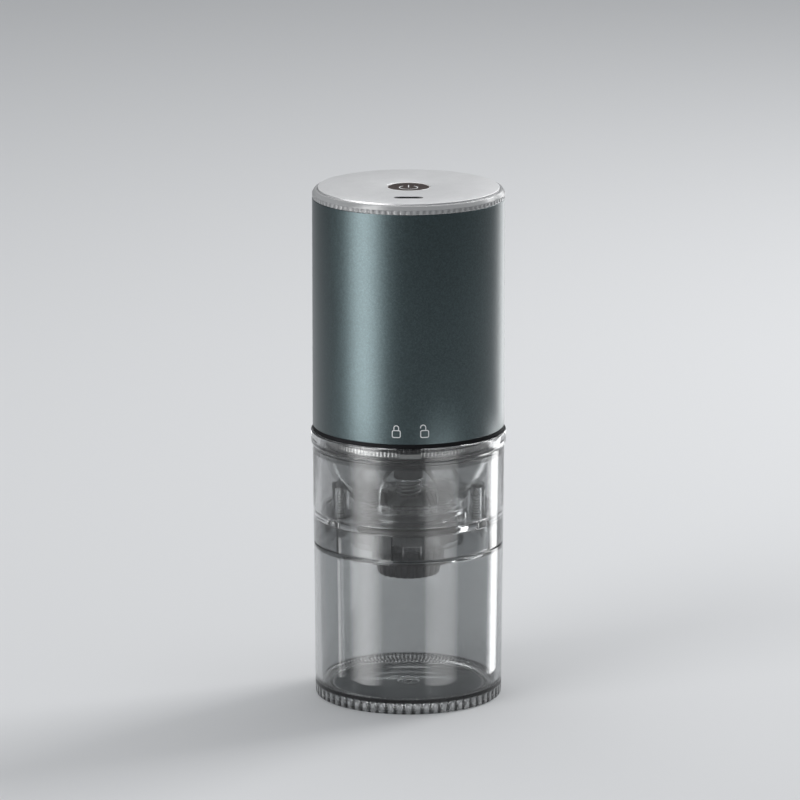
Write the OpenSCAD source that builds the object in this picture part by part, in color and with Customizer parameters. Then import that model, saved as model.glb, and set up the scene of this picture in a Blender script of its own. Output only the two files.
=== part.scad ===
// Cordless burr grinder: a ribbed clear cup, a clear hopper with a ceramic burr set, and a motor unit
// with a planetary gearbox. The axis of the grinder is Z, the floor is z = 0 and the front faces -Y.
// Angles round the axis start at the front and grow towards +X.

/* [Cup] */
// Height of the cup up to the shoulder that the hopper stands on
cup_h = 57.5; // [50:0.5:80]
// Outer radius of the cup at its foot
cup_r_base = 34.2; // [33.8:0.05:34.5]
// Outer radius of the cup under its shoulder
cup_r_top = 34.65; // [34.4:0.05:34.9]
// Thickness of the cup's wall
cup_wall = 2.4; // [1.8:0.1:3]
// Thickness of the cup's floor
cup_floor = 4; // [3:0.1:6]
// Height of the ribbed band round the foot
foot_h = 4.2; // [2:0.1:6]
// Number of ribs round the foot
foot_ribs = 64; // [40:4:90]
// Depth of the grooves between the ribs
rib_depth = 0.6; // [0.3:0.05:0.9]
// Depth of the hollow under the foot
foot_hollow = 0.8; // [0.4:0.1:1.5]
// Height of the neck above the shoulder
neck_h = 8.9; // [8.5:0.1:9.1]
// How far the bayonet tracks stand out from the neck
track_t = 1.7; // [1.4:0.1:1.8]
// Thickness of the neck's wall
neck_wall = 1.8; // [1.4:0.1:2.2]
// Thickness of the ledge on the neck that holds the hopper's lug down
ledge_h = 3.4; // [2:0.1:3.6]

/* [Hopper] */
// Height of the hopper from the seam over the cup to its open rim
hopper_h = 41.7; // [40:0.1:60]
// Outer radius of the hopper at the seam
hopper_r_base = 34.75; // [34.7:0.05:34.9]
// Outer radius of the hopper under its collar
hopper_r_top = 35.1; // [35:0.05:35.3]
// Thickness of the hopper's outer wall
hopper_wall_t = 2.2; // [1.8:0.1:2.3]
// How far the collar stands out from the hopper's wall
collar_step = 0.55; // [0.3:0.05:0.9]
// Height of the collar
collar_h = 4.5; // [3:0.1:6]
// Height of the open skirt under the hopper's floor
skirt_h = 9.1; // [9.1:0.1:12]
// Thickness of the hopper's floor
floor_t = 2.4; // [2.2:0.1:3]
// Height of the lugs inside the skirt
lug_h = 3; // [2:0.1:3.2]
// Wall of the bowl that the beans lie in
bowl_wall = 1.6; // [1.2:0.1:2]
// Gap between the bowl and the hopper's wall at the bowl's mouth
bowl_gap = 1.65; // [1.4:0.05:2.4]
// Depth of the bowl's rounded part, outside
bowl_depth = 24; // [22:0.5:25]
// Radius of the screw bosses under the bowl
boss_r = 3; // [2.6:0.1:3.2]
// Height of the screw bosses above the hopper's floor
boss_h = 12.7; // [10:0.1:14]

/* [Burrs] */
// Outer radius of the ring burr
ring_burr_r = 18.4; // [17.5:0.1:18.6]
// Height of the ring burr
ring_burr_h = 10.9; // [9:0.1:12]
// Radius over the tooth tips at the ring burr's feed side
ring_tip_top = 12.2; // [11.8:0.1:12.6]
// Radius over the tooth tips at the ring burr's outlet side
ring_tip_bottom = 14.5; // [14.4:0.1:15]
// Largest radius of the inner burr
burr_r = 13.9; // [13.4:0.1:14]
// Number of fine teeth on each burr
fine_teeth = 30; // [24:2:36]
// Number of feed vanes on the inner burr
feed_vanes = 6; // [4:1:8]
// Travel of the inner burr up and down from its middle setting
grind_travel = 0.4; // [0.2:0.05:0.5]

/* [Spindle] */
// Radius of the spindle in its bearing
spindle_r = 3; // [2.6:0.1:3.2]
// Radius of the spindle's threaded end
thread_r = 2.4; // [2:0.1:2.5]
// Outer radius of the bearing hub
hub_r = 5.4; // [5:0.1:6]
// Wire radius of the burr spring
spring_wire_r = 0.45; // [0.3:0.05:0.6]
// Height of the grind knob
knob_h = 12; // [10:0.5:14]
// Radius of the grind knob at its upper edge
knob_r_top = 13.5; // [12.5:0.1:14.5]
// Radius of the grind knob at its lower edge
knob_r_bottom = 11.2; // [10:0.1:12]
// Number of grip ribs on the grind knob
knob_ribs = 24; // [16:2:36]

/* [Motor unit] */
// Outer radius of the body shell
shell_r = 35; // [34.9:0.05:35.2]
// Thickness of the body shell
shell_wall = 1.2; // [0.8:0.1:1.4]
// Height of the body shell
shell_h = 84.4; // [84:0.1:95]
// Thickness of the base cover's flange under the shell
flange_h = 1.4; // [1:0.1:2]
// Radius of the motor can
motor_r = 13.85; // [12:0.05:14]
// Length of the motor can
motor_h = 37.8; // [30:0.1:40]
// Gap between the motor can and each battery cell beside it
cell_gap = 0.45; // [0.3:0.05:0.8]
// Length of a battery cell
cell_h = 65; // [60:0.5:65.5]
// Thickness of the circuit board
board_t = 1.6; // [1:0.1:2]
// Gap between the edge of the circuit board and the shell
board_gap = 3.8; // [2.8:0.1:4.8]

/* [Gearbox] */
// Gear module of the planetary set
gear_m = 0.5; // [0.48:0.005:0.5]
// Teeth on the sun pinion
sun_teeth = 12; // [12:6:12]
// Teeth on each planet gear
planet_teeth = 18; // [18:6:18]
// Width of the planet gears
gear_w = 4.5; // [3:0.1:4.6]
// Outer radius of the gear housing
gearbox_r = 14; // [13.8:0.05:14.1]

/* [Lid] */
// Height of the clear rim from the shell to the metal plate's face
rim_h = 3.7; // [3.6:0.1:5]
// Width of the clear rim round the metal lid plate
rim_w = 2; // [1.6:0.1:4]
// Thickness of the metal lid plate
plate_t = 1.2; // [0.8:0.1:1.3]
// Number of serrations round the clear rim
rim_teeth = 96; // [60:2:120]
// Radius of the power button
button_r = 7.5; // [6:0.1:8]
// Travel of the power button
button_travel = 0.5; // [0.2:0.05:0.6]
// Distance of the charging port from the edge of the circuit board
port_edge = 9.25; // [6:0.25:11]
// Length of the port's slot in the lid
slot_l = 10.6; // [9.6:0.1:12]
// Width of the port's slot in the lid
slot_w = 3.5; // [3.4:0.1:4]

/* [Hidden] */
$fn = 96;

// Clearances
fit = 0.05;       // a seated or turning fit, on the radius
face_gap = 0.1;   // between flat faces that turn on each other
slip = 0.35;      // between the bayonets' sliding faces
seam = 0.3;       // the dark line between cup and hopper
screw_gap = 0.15; // between a screw and the hole that it passes through, on the radius
past = 0.5;       // how far a cutter runs past a face

// Heights of the stack, from the floor up
cup_top = cup_h;
hopper_z = cup_top + seam;
floor_z = hopper_z + skirt_h;
floor_top = floor_z + floor_t;
hopper_top = hopper_z + hopper_h;
collar_z = hopper_top - collar_h;
cover_z = hopper_top + face_gap;
shell_z = cover_z + flange_h;
shell_top = shell_z + shell_h;
lid_top = shell_top + rim_h;

// Cup and its bayonet
foot_ring_w = 4.2;
shoulder_t = 1.7;                  // thickness of the flat shoulder under the neck
shoulder_edge = 0.5;               // bevel inside, where the shoulder meets the wall
foot_hollow_r = cup_r_base - foot_ring_w;
turns = 3;                         // lugs round each bayonet
skirt_r = hopper_r_base - hopper_wall_t;
track_r = skirt_r - 0.45;
neck_r = track_r - track_t;
block_a = [-52, -10.7];            // stop block on the neck
ledge_a = [-10.7, 20];             // ledge over the hopper's lug
lug_a = [-3.4, 8];                 // lug inside the skirt
lug_z = hopper_z + 1.8;
ledge_z = lug_z + lug_h + slip;

// Burr well in the hopper's floor
well_wall = 1.7;
well_r = ring_burr_r + 0.2;
well_top = floor_top + 1.9;
ring_z = well_top - ring_burr_h - face_gap;
well_lip = 1.8;
well_lip_r = ring_burr_r - 2;

// Bowl
bowl_mouth_z = collar_z - 3.5;     // centre of the rounded part
wall_in_r = min(skirt_r, hopper_r_top - hopper_wall_t);
bowl_r = wall_in_r - bowl_gap;
bowl_in_r = bowl_r - bowl_wall;
bowl_rim_z = collar_z - 2;
bowl_rim_t = 1.6;
bowl_rim_r = hopper_r_top - hopper_wall_t + 0.4;
collar_in_r = bowl_rim_r + 0.2;
collar_r = hopper_r_top + collar_step;
tube_r = well_r + well_wall + 0.5; // inside of the bowl's outlet tube
boss_a = [60, 180, 300];
boss_gap = 1.55;                   // between a boss and the hopper's wall
boss_ring_r = wall_in_r - boss_gap - boss_r;
boss_foot_r = boss_r + boss_gap - 0.25;
boss_foot_h = 2.2;

// Carrier screws
screw_r = 1.25;
screw_head_r = 2.3;
screw_head_h = 1.5;

// Bearing bridge over the burrs
bridge_z = well_top;
bridge_foot_h = 1.6;
bridge_r = tube_r - 0.4;
bridge_rise = 16.6;
bridge_wall = 1.6;
dome_z = bridge_z + bridge_foot_h + 1.8;
window_w = 10;                     // half the width of a window
hub_h = 12.2;
hub_flange_r = hub_r + 1.4;
hub_flange_h = 1.7;
crown_z = ellipse_z(bridge_r, bridge_rise, dome_z, hub_r, 1);
hub_top = crown_z + hub_flange_h + fit;

// Spindle, from its drive head down to its thread
washer_t = 0.6;
head_z = hub_top + washer_t + fit * 2;
head_h = 2.1;
head_r = 5;
blade_w = 3.9;                     // half the width of the driving blade
blade_t = 2.2;
blade_h = 4.8;
spigot_r = 2;
hub_z = hub_top - hub_h;
clip_t = 0.7;
clip_z = hub_z - clip_t - face_gap;
clip_r = 5;
groove_r = spindle_r - 0.4;
flat_x = spindle_r - 0.5;          // half the width over the spindle's flats

// Inner burr and knob
burr_z = ring_z - 1.8;
burr_h = 14.5;
burr_top = burr_z + burr_h;
fine_h = 5.6;
vane_step = 2.3;                   // from the burr's largest radius in to the vanes' tips
vane_depth = 2.3;
burr_core_wall = 1.9;
burr_washer_t = 1;
burr_washer_r = 9;
knob_top = burr_z - burr_washer_t - face_gap * 2;
knob_z = knob_top - knob_h;
nut_h = 5;
nut_r = 5;
nut_seat = 4;                      // from the knob's lower face up to the nut
nut_z = knob_z + nut_seat;
thread_top = knob_top + 0.2;
spindle_z = knob_z + 1.5;

// Bayonet between motor unit and hopper
ring_r = collar_in_r - 2;
ring_wall = 1.6;
ring_h = 4.2;
ring_bottom = cover_z - ring_h;
ring_flange_h = 1.8;
top_lug_a = [-5.5, 7.5];
top_ledge_a = [-7.5, 7.5];
top_stop_a = [8.2, 9.6];
top_lug_h = 1.6;
top_lug_z = ring_bottom + 0.2;
top_ledge_z = top_lug_z + top_lug_h + slip;
top_ledge_h = 1.6;
seal_t = 0.6;
seal_inset = 0.1;                  // from the ring's wall, on both sides

// Base cover and inner frame
inside_r = shell_r - shell_wall;
cover_r = inside_r - 0.2;
cover_top = shell_z + 2;
cover_rim_h = 4;
cover_rim_t = 2.2;
coupler_hole_r = 8;
frame_z = cover_top + cover_rim_h;
frame_t = 1.6;
frame_r = inside_r - 0.4;
frame_screw_a = [60, 180, 300];
frame_boss_r = 3;
frame_screw_r = min(ring_r - ring_wall - screw_head_r - 1.1, cover_r - cover_rim_t - frame_boss_r - 1.9);
frame_screw_tip = 0.4;             // from the screws' tips up to the cells' floor
ring_flange_r = frame_screw_r - screw_head_r - 0.7;
cell_z = frame_z + frame_t;
cell_shell_gap = 1.3;
cell_r = (inside_r - motor_r - cell_gap - cell_shell_gap) / 2;
cell_x = motor_r + cell_gap + cell_r;
pole_r = 3.2;
pole_h = 0.6;
contact_r = 4;
top_plate_z = cell_z + cell_h + 0.9;
top_plate_t = 1.8;
post_y = 20.5;
post_w = 22;
post_t = 2.2;
frame_gap = 0.3;                   // between the frame's floor and the gear housing

// Gearbox
ring_teeth = sun_teeth + 2 * planet_teeth;
sun_pitch_r = gear_m * sun_teeth / 2;
planet_pitch_r = gear_m * planet_teeth / 2;
ring_pitch_r = gear_m * ring_teeth / 2;
planet_ring_r = sun_pitch_r + planet_pitch_r;
addendum = 0.7 * gear_m;
dedendum = gear_m;
gearbox_z = cover_top;
gearbox_floor = 2.3;
output_r = 2.5;
bush_r = 4.4;
ear_y = 16.5;
ear_r = 3;
ear_root = 4;                      // from an ear's centre in to the housing's wall
gearbox_screw_r = 1.45;
gearbox_head_r = 2.8;
gearbox_head_h = 1.55;
gearbox_screw_l = 8.5;
output_washer_t = 0.3;
carrier_z = gearbox_z + gearbox_floor + output_washer_t + fit * 2;
carrier_t = 1.5;
carrier_r = ring_pitch_r - addendum - 0.45;
pin_r = 1.2;
planet_z = carrier_z + carrier_t + 0.3;
planet_top = planet_z + gear_w;
gearbox_top = planet_top + 0.8;
coupler_z = head_z + head_h + 0.6;
coupler_r = 5.6;
coupler_top = cover_top - 0.2;
socket_r = 4.3;
socket_top = head_z + head_h + blade_h + 0.7;
dog_r = 2.7;
dog_a = 11;                        // half the angle of a driving dog

// Motor
motor_plate_t = 1.6;
motor_z = gearbox_top + motor_plate_t;
motor_top = motor_z + motor_h;
endcap_h = 4.3;
motor_boss_r = 5;
motor_shaft_r = 1.15;
motor_screw_x = 8;
motor_screw_r = 1.2;
motor_head_r = 2.2;
motor_screw_in = 3;                // how far a screw reaches into the motor can
terminal_x = 8;
terminal_w = 2.8;
terminal_t = 0.8;
terminal_h = 4.5;
lead_r = 0.8;

// Board, lid and button
plate_r = shell_r - rim_w;
plate_z = lid_top - plate_t;
mouth_z = plate_z + 0.1;
socket_h = 8.4;                    // length of the charging port, from the board up into its slot
board_top = mouth_z - socket_h;
board_z = board_top - board_t;
board_r = inside_r - board_gap;
port_y = board_r - port_edge;
standoff_r = 2.5;
standoff_inset = 4;
standoff_ring_r = board_r - standoff_inset;
board_screw_r = 1.05;
board_screw_l = 5.1;
board_head_r = 2.2;
board_head_h = 1.4;
lid_disc_t = 1.6;
lid_disc_z = plate_z - lid_disc_t;
rim_spigot_h = 5.7;
rim_spigot_t = 1.7;
rim_band_h = 1.5;
button_gap = 0.1;
trim_wall = 0.45;
trim_r = button_r + button_gap + trim_wall;
trim_flange_r = trim_r + 1.45;
trim_flange_h = 0.6;
button_top = lid_top - 0.1;
button_flange_h = 0.6;
button_flange_w = 0.9;
button_flange_z = lid_disc_z - trim_flange_h - 1.2;
stem_r = 2;
switch_h = 2.9;
switch_w = 6;
plunger_h = 0.7;
plunger_r = 1.7;
led_y = 12;                        // distance of the LED in front of the axis
led_w = 1.6;
led_t = 0.8;
led_h = 0.7;
stem_z = board_top + switch_h + plunger_h + button_travel + 0.1;
socket_w = 8.94;
socket_d = 3.26;
socket_wall = 0.3;
socket_depth = 6.5;
tongue_w = 6.7;
tongue_t = 0.7;

// Points on an ellipse in the r-z plane, from angle a0 to a1, centred on the axis at height zc
function arc_points(a, b, zc, a0, a1, steps = 12) =
    [for (i = [0 : steps]) let (t = a0 + (a1 - a0) * i / steps) [a * cos(t), zc + b * sin(t)]];

// Height on such an ellipse where its radius is r, below (side = -1) or above (side = 1) the centre
function ellipse_z(a, b, zc, r, side) = zc + side * b * sqrt(1 - (r / a) * (r / a));

// One toothed outline: each tooth has two tip points and two root points, given as shares of a pitch
function star_points(teeth, root, tip, phase = 0, tip_w = 0.3, root_w = 0.7) =
    [for (i = [0 : teeth - 1]) for (k = [-1, 1, 2, 3])
        let (share = k == -1 ? -tip_w / 2 : k == 1 ? tip_w / 2 : k == 2 ? root_w / 2 : 1 - root_w / 2)
        let (a = (i + share) * 360 / teeth + phase, r = k < 2 ? tip : root) [r * cos(a), r * sin(a)]];

// A toothed loft through levels of [z, root radius, tip radius, phase]
module star_loft(teeth, levels, tip_w = 0.3, root_w = 0.7) {
    n = teeth * 4;
    rows = len(levels);
    points = [for (v = levels) for (p = star_points(teeth, v[1], v[2], v[3], tip_w, root_w))
        [p[0], p[1], v[0]]];
    sides = [for (j = [0 : rows - 2]) for (i = [0 : n - 1]) let (k = (i + 1) % n)
        each [[j * n + i, (j + 1) * n + i, j * n + k], [j * n + k, (j + 1) * n + i, (j + 1) * n + k]]];
    polyhedron(points, concat([[for (i = [0 : n - 1]) i]], sides,
        [[for (i = [n - 1 : -1 : 0]) (rows - 1) * n + i]]), convexity = 8);
}

// A ring round the axis
module ring(r_in, r_out, z, h) {
    rotate_extrude() translate([r_in, z]) square([r_out - r_in, h]);
}

// Part of a ring between two angles counted from the front
module sector(r_in, r_out, angles, z, h) {
    rotate([0, 0, angles[0] - 90]) rotate_extrude(angle = angles[1] - angles[0])
        translate([r_in, z]) square([r_out - r_in, h]);
}

// Children at a distance from the axis, at each angle of a list counted from the front
module around(angles, r) {
    for (a = angles) rotate([0, 0, a - 90]) translate([r, 0, 0]) children();
}

// A pin with a cylindrical head, from the head's lower or upper face
module screw_down(r, head_r, head_h, length) {
    cylinder(r = head_r, h = head_h);
    translate([0, 0, head_h - 0.01]) cylinder(r = r, h = length + 0.01);
}

// A slot with round ends, as long as l and as wide as w
module round_slot(l, w, h) {
    translate([-(l - w) / 2, -w / 2, 0]) cube([l - w, w, h]);
    for (s = [-1, 1]) translate([s * (l - w) / 2, 0, 0]) cylinder(d = w, h = h);
}

// ---- Cup -----------------------------------------------------------------------------------------

module grounds_cup() {
    step_z = cup_top - shoulder_t;
    color([0.62, 0.65, 0.66, 0.5]) difference() {
        union() {
            linear_extrude(foot_h)
                polygon(star_points(foot_ribs, cup_r_base - rib_depth, cup_r_base, 0, 0.35, 0.75));
            rotate_extrude() polygon([[0, foot_h - 0.01], [cup_r_base - rib_depth - 0.05, foot_h - 0.01],
                [cup_r_base, foot_h + 0.6], [cup_r_top, cup_top - 0.4], [cup_r_top - 0.4, cup_top],
                [neck_r, cup_top], [neck_r, cup_top + neck_h], [0, cup_top + neck_h]]);
            for (i = [0 : turns - 1]) rotate([0, 0, i * 360 / turns]) {
                sector(neck_r - 0.2, track_r, block_a, cup_top - 0.01, neck_h + 0.01);
                sector(neck_r - 0.2, track_r, ledge_a, ledge_z, min(ledge_h, cup_top + neck_h - ledge_z));
            }
        }
        rotate_extrude() polygon([[0, cup_floor], [cup_r_base - cup_wall - 1.5, cup_floor],
            [cup_r_base - cup_wall, cup_floor + 1.5], [cup_r_top - cup_wall, step_z - shoulder_edge],
            [cup_r_top - cup_wall - shoulder_edge, step_z], [neck_r - neck_wall, step_z],
            [neck_r - neck_wall, cup_top + neck_h + past],
            [0, cup_top + neck_h + past]]);
        translate([0, 0, -past]) cylinder(r = foot_hollow_r, h = foot_hollow + past);
    }
}

// ---- Hopper --------------------------------------------------------------------------------------

module hopper_wall() {
    color([0.6, 0.62, 0.63, 0.5]) difference() {
        union() {
            rotate_extrude() polygon([[skirt_r, hopper_z], [hopper_r_base, hopper_z],
                [hopper_r_top, collar_z - 1], [collar_r, collar_z], [collar_r, hopper_top - 0.4],
                [collar_r - 0.4, hopper_top], [collar_in_r, hopper_top], [collar_in_r, bowl_rim_z],
                [hopper_r_top - hopper_wall_t, bowl_rim_z], [skirt_r + 0.08, floor_top],
                [well_r, floor_top], [well_r, floor_z], [skirt_r + 0.05, floor_z]]);
            ring(well_r, well_r + well_wall, ring_z - well_lip, well_top - ring_z + well_lip);
            ring(well_lip_r, well_r + 0.2, ring_z - well_lip, well_lip);
            for (i = [0 : turns - 1]) rotate([0, 0, i * 360 / turns]) {
                sector(neck_r + slip, skirt_r + 0.5, lug_a, lug_z, lug_h);
                sector(ring_r + slip, collar_in_r + 0.5, top_ledge_a, top_ledge_z, top_ledge_h);
                sector(ring_r + slip, collar_in_r + 0.5, top_stop_a, bowl_rim_z + bowl_rim_t + 0.2,
                    top_ledge_z + top_ledge_h - bowl_rim_z - bowl_rim_t - 0.2);
            }
        }
        around(boss_a, boss_ring_r) {
            translate([0, 0, floor_z - past]) cylinder(r = screw_head_r + 0.2, h = screw_head_h + past + fit);
            translate([0, 0, floor_z]) cylinder(r = screw_r + screw_gap, h = floor_t + past);
        }
    }
}

module bean_bowl() {
    in_depth = bowl_depth - bowl_wall;
    tube_out = tube_r + bowl_wall;
    a_out = -acos(tube_out / bowl_r);
    a_in = -acos(tube_r / bowl_in_r);
    color([0.66, 0.68, 0.69, 0.5]) difference() {
        union() {
            rotate_extrude() polygon(concat(
                [[0, floor_top], [tube_out, floor_top]],
                arc_points(bowl_r, bowl_depth, bowl_mouth_z, a_out, 0),
                [[bowl_r, bowl_rim_z], [bowl_rim_r, bowl_rim_z], [bowl_rim_r, bowl_rim_z + bowl_rim_t],
                [0, bowl_rim_z + bowl_rim_t]]));
            around(boss_a, boss_ring_r) translate([0, 0, floor_top]) {
                cylinder(r = boss_r, h = boss_h);
                cylinder(r1 = boss_foot_r, r2 = boss_foot_r - 0.4, h = boss_foot_h);
            }
        }
        rotate_extrude() polygon(concat(
            [[0, floor_top - past], [tube_r, floor_top - past]],
            arc_points(bowl_in_r, in_depth, bowl_mouth_z, a_in, 0),
            [[bowl_in_r, bowl_rim_z + bowl_rim_t + past], [0, bowl_rim_z + bowl_rim_t + past]]));
        around(boss_a, boss_ring_r) translate([0, 0, floor_top - past])
            cylinder(r = screw_r + fit, h = boss_h - 1);
    }
}

module carrier_screws() {
    color("silver") around(boss_a, boss_ring_r) translate([0, 0, floor_z + fit])
        screw_down(screw_r, screw_head_r, screw_head_h, floor_t - screw_head_h + boss_h - 2);
}

module ring_burr() {
    top = ring_z + ring_burr_h;
    slope = (ring_tip_top - ring_tip_bottom) / ring_burr_h;
    color("whitesmoke") difference() {
        translate([0, 0, ring_z]) cylinder(r = ring_burr_r, h = ring_burr_h);
        star_loft(fine_teeth, [
            [ring_z - past, ring_tip_bottom - slope * past, ring_tip_bottom + 0.9 - slope * past, 0],
            [ring_z + ring_burr_h / 2, (ring_tip_bottom + ring_tip_top) / 2, ring_tip_bottom + 0.6, 8],
            [top + past, ring_tip_top + slope * past, ring_tip_top + 2.4, 16]]);
    }
}

module bearing_bridge() {
    in_r = bridge_r - bridge_wall;
    in_rise = bridge_rise - bridge_wall;
    bore = hub_r + fit;
    crown_t = 4;
    color([0.68, 0.7, 0.7, 0.5]) difference() {
        union() {
            ring(well_lip_r + 0.6, bridge_r, bridge_z, bridge_foot_h);
            rotate_extrude() polygon(concat([[in_r, bridge_z + bridge_foot_h - 0.1],
                [bridge_r, bridge_z + bridge_foot_h - 0.1]],
                arc_points(bridge_r, bridge_rise, dome_z, 0, acos(bore / bridge_r)),
                arc_points(in_r, in_rise, dome_z, acos(bore / in_r), 0)));
            ring(bore, hub_flange_r + 0.2, crown_z - crown_t, crown_t);
        }
        for (i = [0 : turns - 1]) rotate([0, 0, i * 360 / turns]) {
            translate([-window_w, -bridge_r - past, dome_z])
                cube([2 * window_w, bridge_r - hub_flange_r - 1.5, 3.2]);
            translate([0, -hub_flange_r - 2, dome_z + 3.2]) rotate([90, 0, 0])
                cylinder(r = window_w, h = bridge_r - hub_flange_r - 1.5 + past);
        }
    }
}

module bearing_hub() {
    color([0.1, 0.1, 0.11]) difference() {
        union() {
            translate([0, 0, hub_z]) cylinder(r = hub_r, h = hub_h);
            translate([0, 0, hub_top - hub_flange_h]) cylinder(r = hub_flange_r, h = hub_flange_h);
        }
        translate([0, 0, hub_z - past]) cylinder(r = spindle_r + fit, h = hub_h + 2 * past);
    }
}

// ---- Spindle and inner burr ----------------------------------------------------------------------

module spindle_shaft() {
    flat_z = burr_z - grind_travel - 0.3;
    cut = 2 * spindle_r;
    color("silver") difference() {
        union() {
            translate([0, 0, spindle_z]) cylinder(r = thread_r, h = thread_top - spindle_z + 0.01);
            translate([0, 0, thread_top]) cylinder(r = spindle_r, h = head_z - thread_top);
            translate([0, 0, head_z - 0.01]) cylinder(r = spigot_r, h = head_h);
        }
        for (s = [-1, 1]) translate([s * (flat_x + cut / 2) - cut / 2, -cut / 2, flat_z])
            cube([cut, cut, clip_z - 1.2 - flat_z]);
        ring(groove_r, spindle_r + past, clip_z - 0.03, clip_t + 0.06);
    }
}

module drive_head() {
    color([0.14, 0.14, 0.15]) difference() {
        union() {
            translate([0, 0, head_z]) cylinder(r = head_r, h = head_h);
            translate([-blade_w, -blade_t / 2, head_z + head_h - 0.01]) cube([2 * blade_w, blade_t, blade_h]);
        }
        translate([0, 0, head_z - past]) cylinder(r = spigot_r + fit, h = head_h + past + 0.1);
    }
}

module thrust_washer() {
    color("silver") ring(spindle_r + fit, head_r + 0.2, hub_top + fit, washer_t);
}

module retaining_clip() {
    color([0.5, 0.5, 0.52]) difference() {
        ring(groove_r + fit, clip_r, clip_z, clip_t);
        translate([0, -1, clip_z - past]) cube([clip_r + past, 2, clip_t + 2 * past]);
    }
}

// The spring's wire follows a helix: rings of points are carried along it and joined
module burr_spring() {
    coils = 4;
    steps = 16;
    sides = 8;
    mean_r = 4.3;
    low = burr_top + spring_wire_r + fit;
    rise = clip_z - fit - spring_wire_r - low;
    rows = coils * steps;
    points = [for (j = [0 : rows]) let (a = j * 360 / steps, z = low + rise * j / rows)
        for (i = [0 : sides - 1]) let (b = i * 360 / sides, r = mean_r + spring_wire_r * cos(b))
            [r * cos(a), r * sin(a), z + spring_wire_r * sin(b)]];
    walls = [for (j = [0 : rows - 1]) for (i = [0 : sides - 1]) let (k = (i + 1) % sides)
        each [[j * sides + i, j * sides + k, (j + 1) * sides + i],
            [j * sides + k, (j + 1) * sides + k, (j + 1) * sides + i]]];
    color("silver") polyhedron(points, concat([[for (i = [sides - 1 : -1 : 0]) i]], walls,
        [[for (i = [0 : sides - 1]) rows * sides + i]]), convexity = 8);
}

module inner_burr() {
    fine_z = burr_z + fine_h;
    color("whitesmoke") difference() {
        union() {
            star_loft(fine_teeth, [[burr_z, burr_r - 0.7, burr_r, 0], [burr_z + 2, burr_r - 0.8, burr_r, 3],
                [fine_z, burr_r - 3.4, burr_r - 1.8, 12]]);
            star_loft(feed_vanes, [for (i = [0 : 7]) let (t = i / 7)
                [fine_z - 0.3 + (burr_h - fine_h + 0.3) * t, burr_r - vane_step - vane_depth - 5.2 * t,
                burr_r - vane_step - 6 * t, 75 * t]], 0.18, 0.5);
            translate([0, 0, burr_z + 0.5]) cylinder(r = spindle_r + burr_core_wall, h = burr_h - 0.5);
        }
        translate([0, 0, burr_z - past]) intersection() {
            cylinder(r = spindle_r + fit, h = burr_h + 2 * past);
            translate([-flat_x - fit, -2 * spindle_r, 0])
                cube([2 * (flat_x + fit), 4 * spindle_r, burr_h + 2 * past]);
        }
    }
}

module burr_washer() {
    z = burr_z - burr_washer_t - face_gap / 2;
    color("silver") ring(spindle_r + fit * 2, burr_washer_r, z, burr_washer_t);
}

module adjust_knob() {
    color([0.09, 0.09, 0.1]) difference() {
        star_loft(knob_ribs, [[knob_z, knob_r_bottom - 1.4, knob_r_bottom - 0.9, 0],
            [knob_z + 0.8, knob_r_bottom - 0.9, knob_r_bottom, 0],
            [knob_top - 1, knob_r_top - 0.9, knob_r_top, 0],
            [knob_top, knob_r_top - 1.2, knob_r_top - 0.6, 0]], 0.45, 0.7);
        translate([0, 0, knob_z - past]) cylinder(r = thread_r + 0.6, h = knob_h + 2 * past);
        translate([0, 0, nut_z]) cylinder(r = nut_r + fit, h = nut_h + fit, $fn = 6);
        translate([0, 0, nut_z + nut_h]) cylinder(r = spindle_r + 1, h = knob_top - nut_z - nut_h + past);
    }
}

module knob_nut() {
    color("goldenrod") difference() {
        translate([0, 0, nut_z]) cylinder(r = nut_r, h = nut_h, $fn = 6);
        translate([0, 0, nut_z - past]) cylinder(r = thread_r + fit + 0.03, h = nut_h + 2 * past);
    }
}

// ---- Motor unit: base, bayonet and frame ---------------------------------------------------------

module bayonet_ring() {
    color([0.55, 0.57, 0.58]) difference() {
        union() {
            ring(ring_r - ring_wall, ring_r, ring_bottom, ring_h);
            ring(ring_flange_r, ring_r - 0.1, cover_z - ring_flange_h, ring_flange_h);
            for (i = [0 : turns - 1]) rotate([0, 0, i * 360 / turns])
                sector(ring_r - 0.2, collar_in_r - slip, top_lug_a, top_lug_z, top_lug_h);
        }
        around(frame_screw_a, frame_screw_r) translate([0, 0, cover_z - ring_flange_h - past])
            cylinder(r = screw_r + screw_gap, h = ring_flange_h + 2 * past);
    }
}

module hopper_seal() {
    color([0.8, 0.81, 0.81])
        ring(ring_r - ring_wall + seal_inset, ring_r - seal_inset, ring_bottom - seal_t, seal_t);
}

module base_cover() {
    color([0.08, 0.08, 0.09]) difference() {
        union() {
            translate([0, 0, cover_z]) cylinder(r = shell_r - 0.1, h = flange_h);
            translate([0, 0, cover_z]) cylinder(r = cover_r, h = cover_top - cover_z);
            ring(cover_r - cover_rim_t, cover_r, cover_top - 0.01, cover_rim_h + 0.01);
        }
        translate([0, 0, cover_z - past]) cylinder(r = coupler_hole_r, h = cover_top - cover_z + 2 * past);
        around(frame_screw_a, frame_screw_r) translate([0, 0, cover_z - past])
            cylinder(r = screw_r + screw_gap, h = cover_top - cover_z + 2 * past);
        around([0, 180], ear_y) translate([0, 0, cover_z - past]) {
            cylinder(r = gearbox_screw_r + screw_gap, h = cover_top - cover_z + 2 * past);
            cylinder(r = gearbox_head_r + 0.2, h = gearbox_head_h + fit + past);
        }
    }
}

module frame_screws() {
    flange_z = cover_z - ring_flange_h;
    color("silver") around(frame_screw_a, frame_screw_r) translate([0, 0, flange_z - screw_head_h])
        screw_down(screw_r, screw_head_r, screw_head_h, cell_z - frame_screw_tip - flange_z);
}

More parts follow.
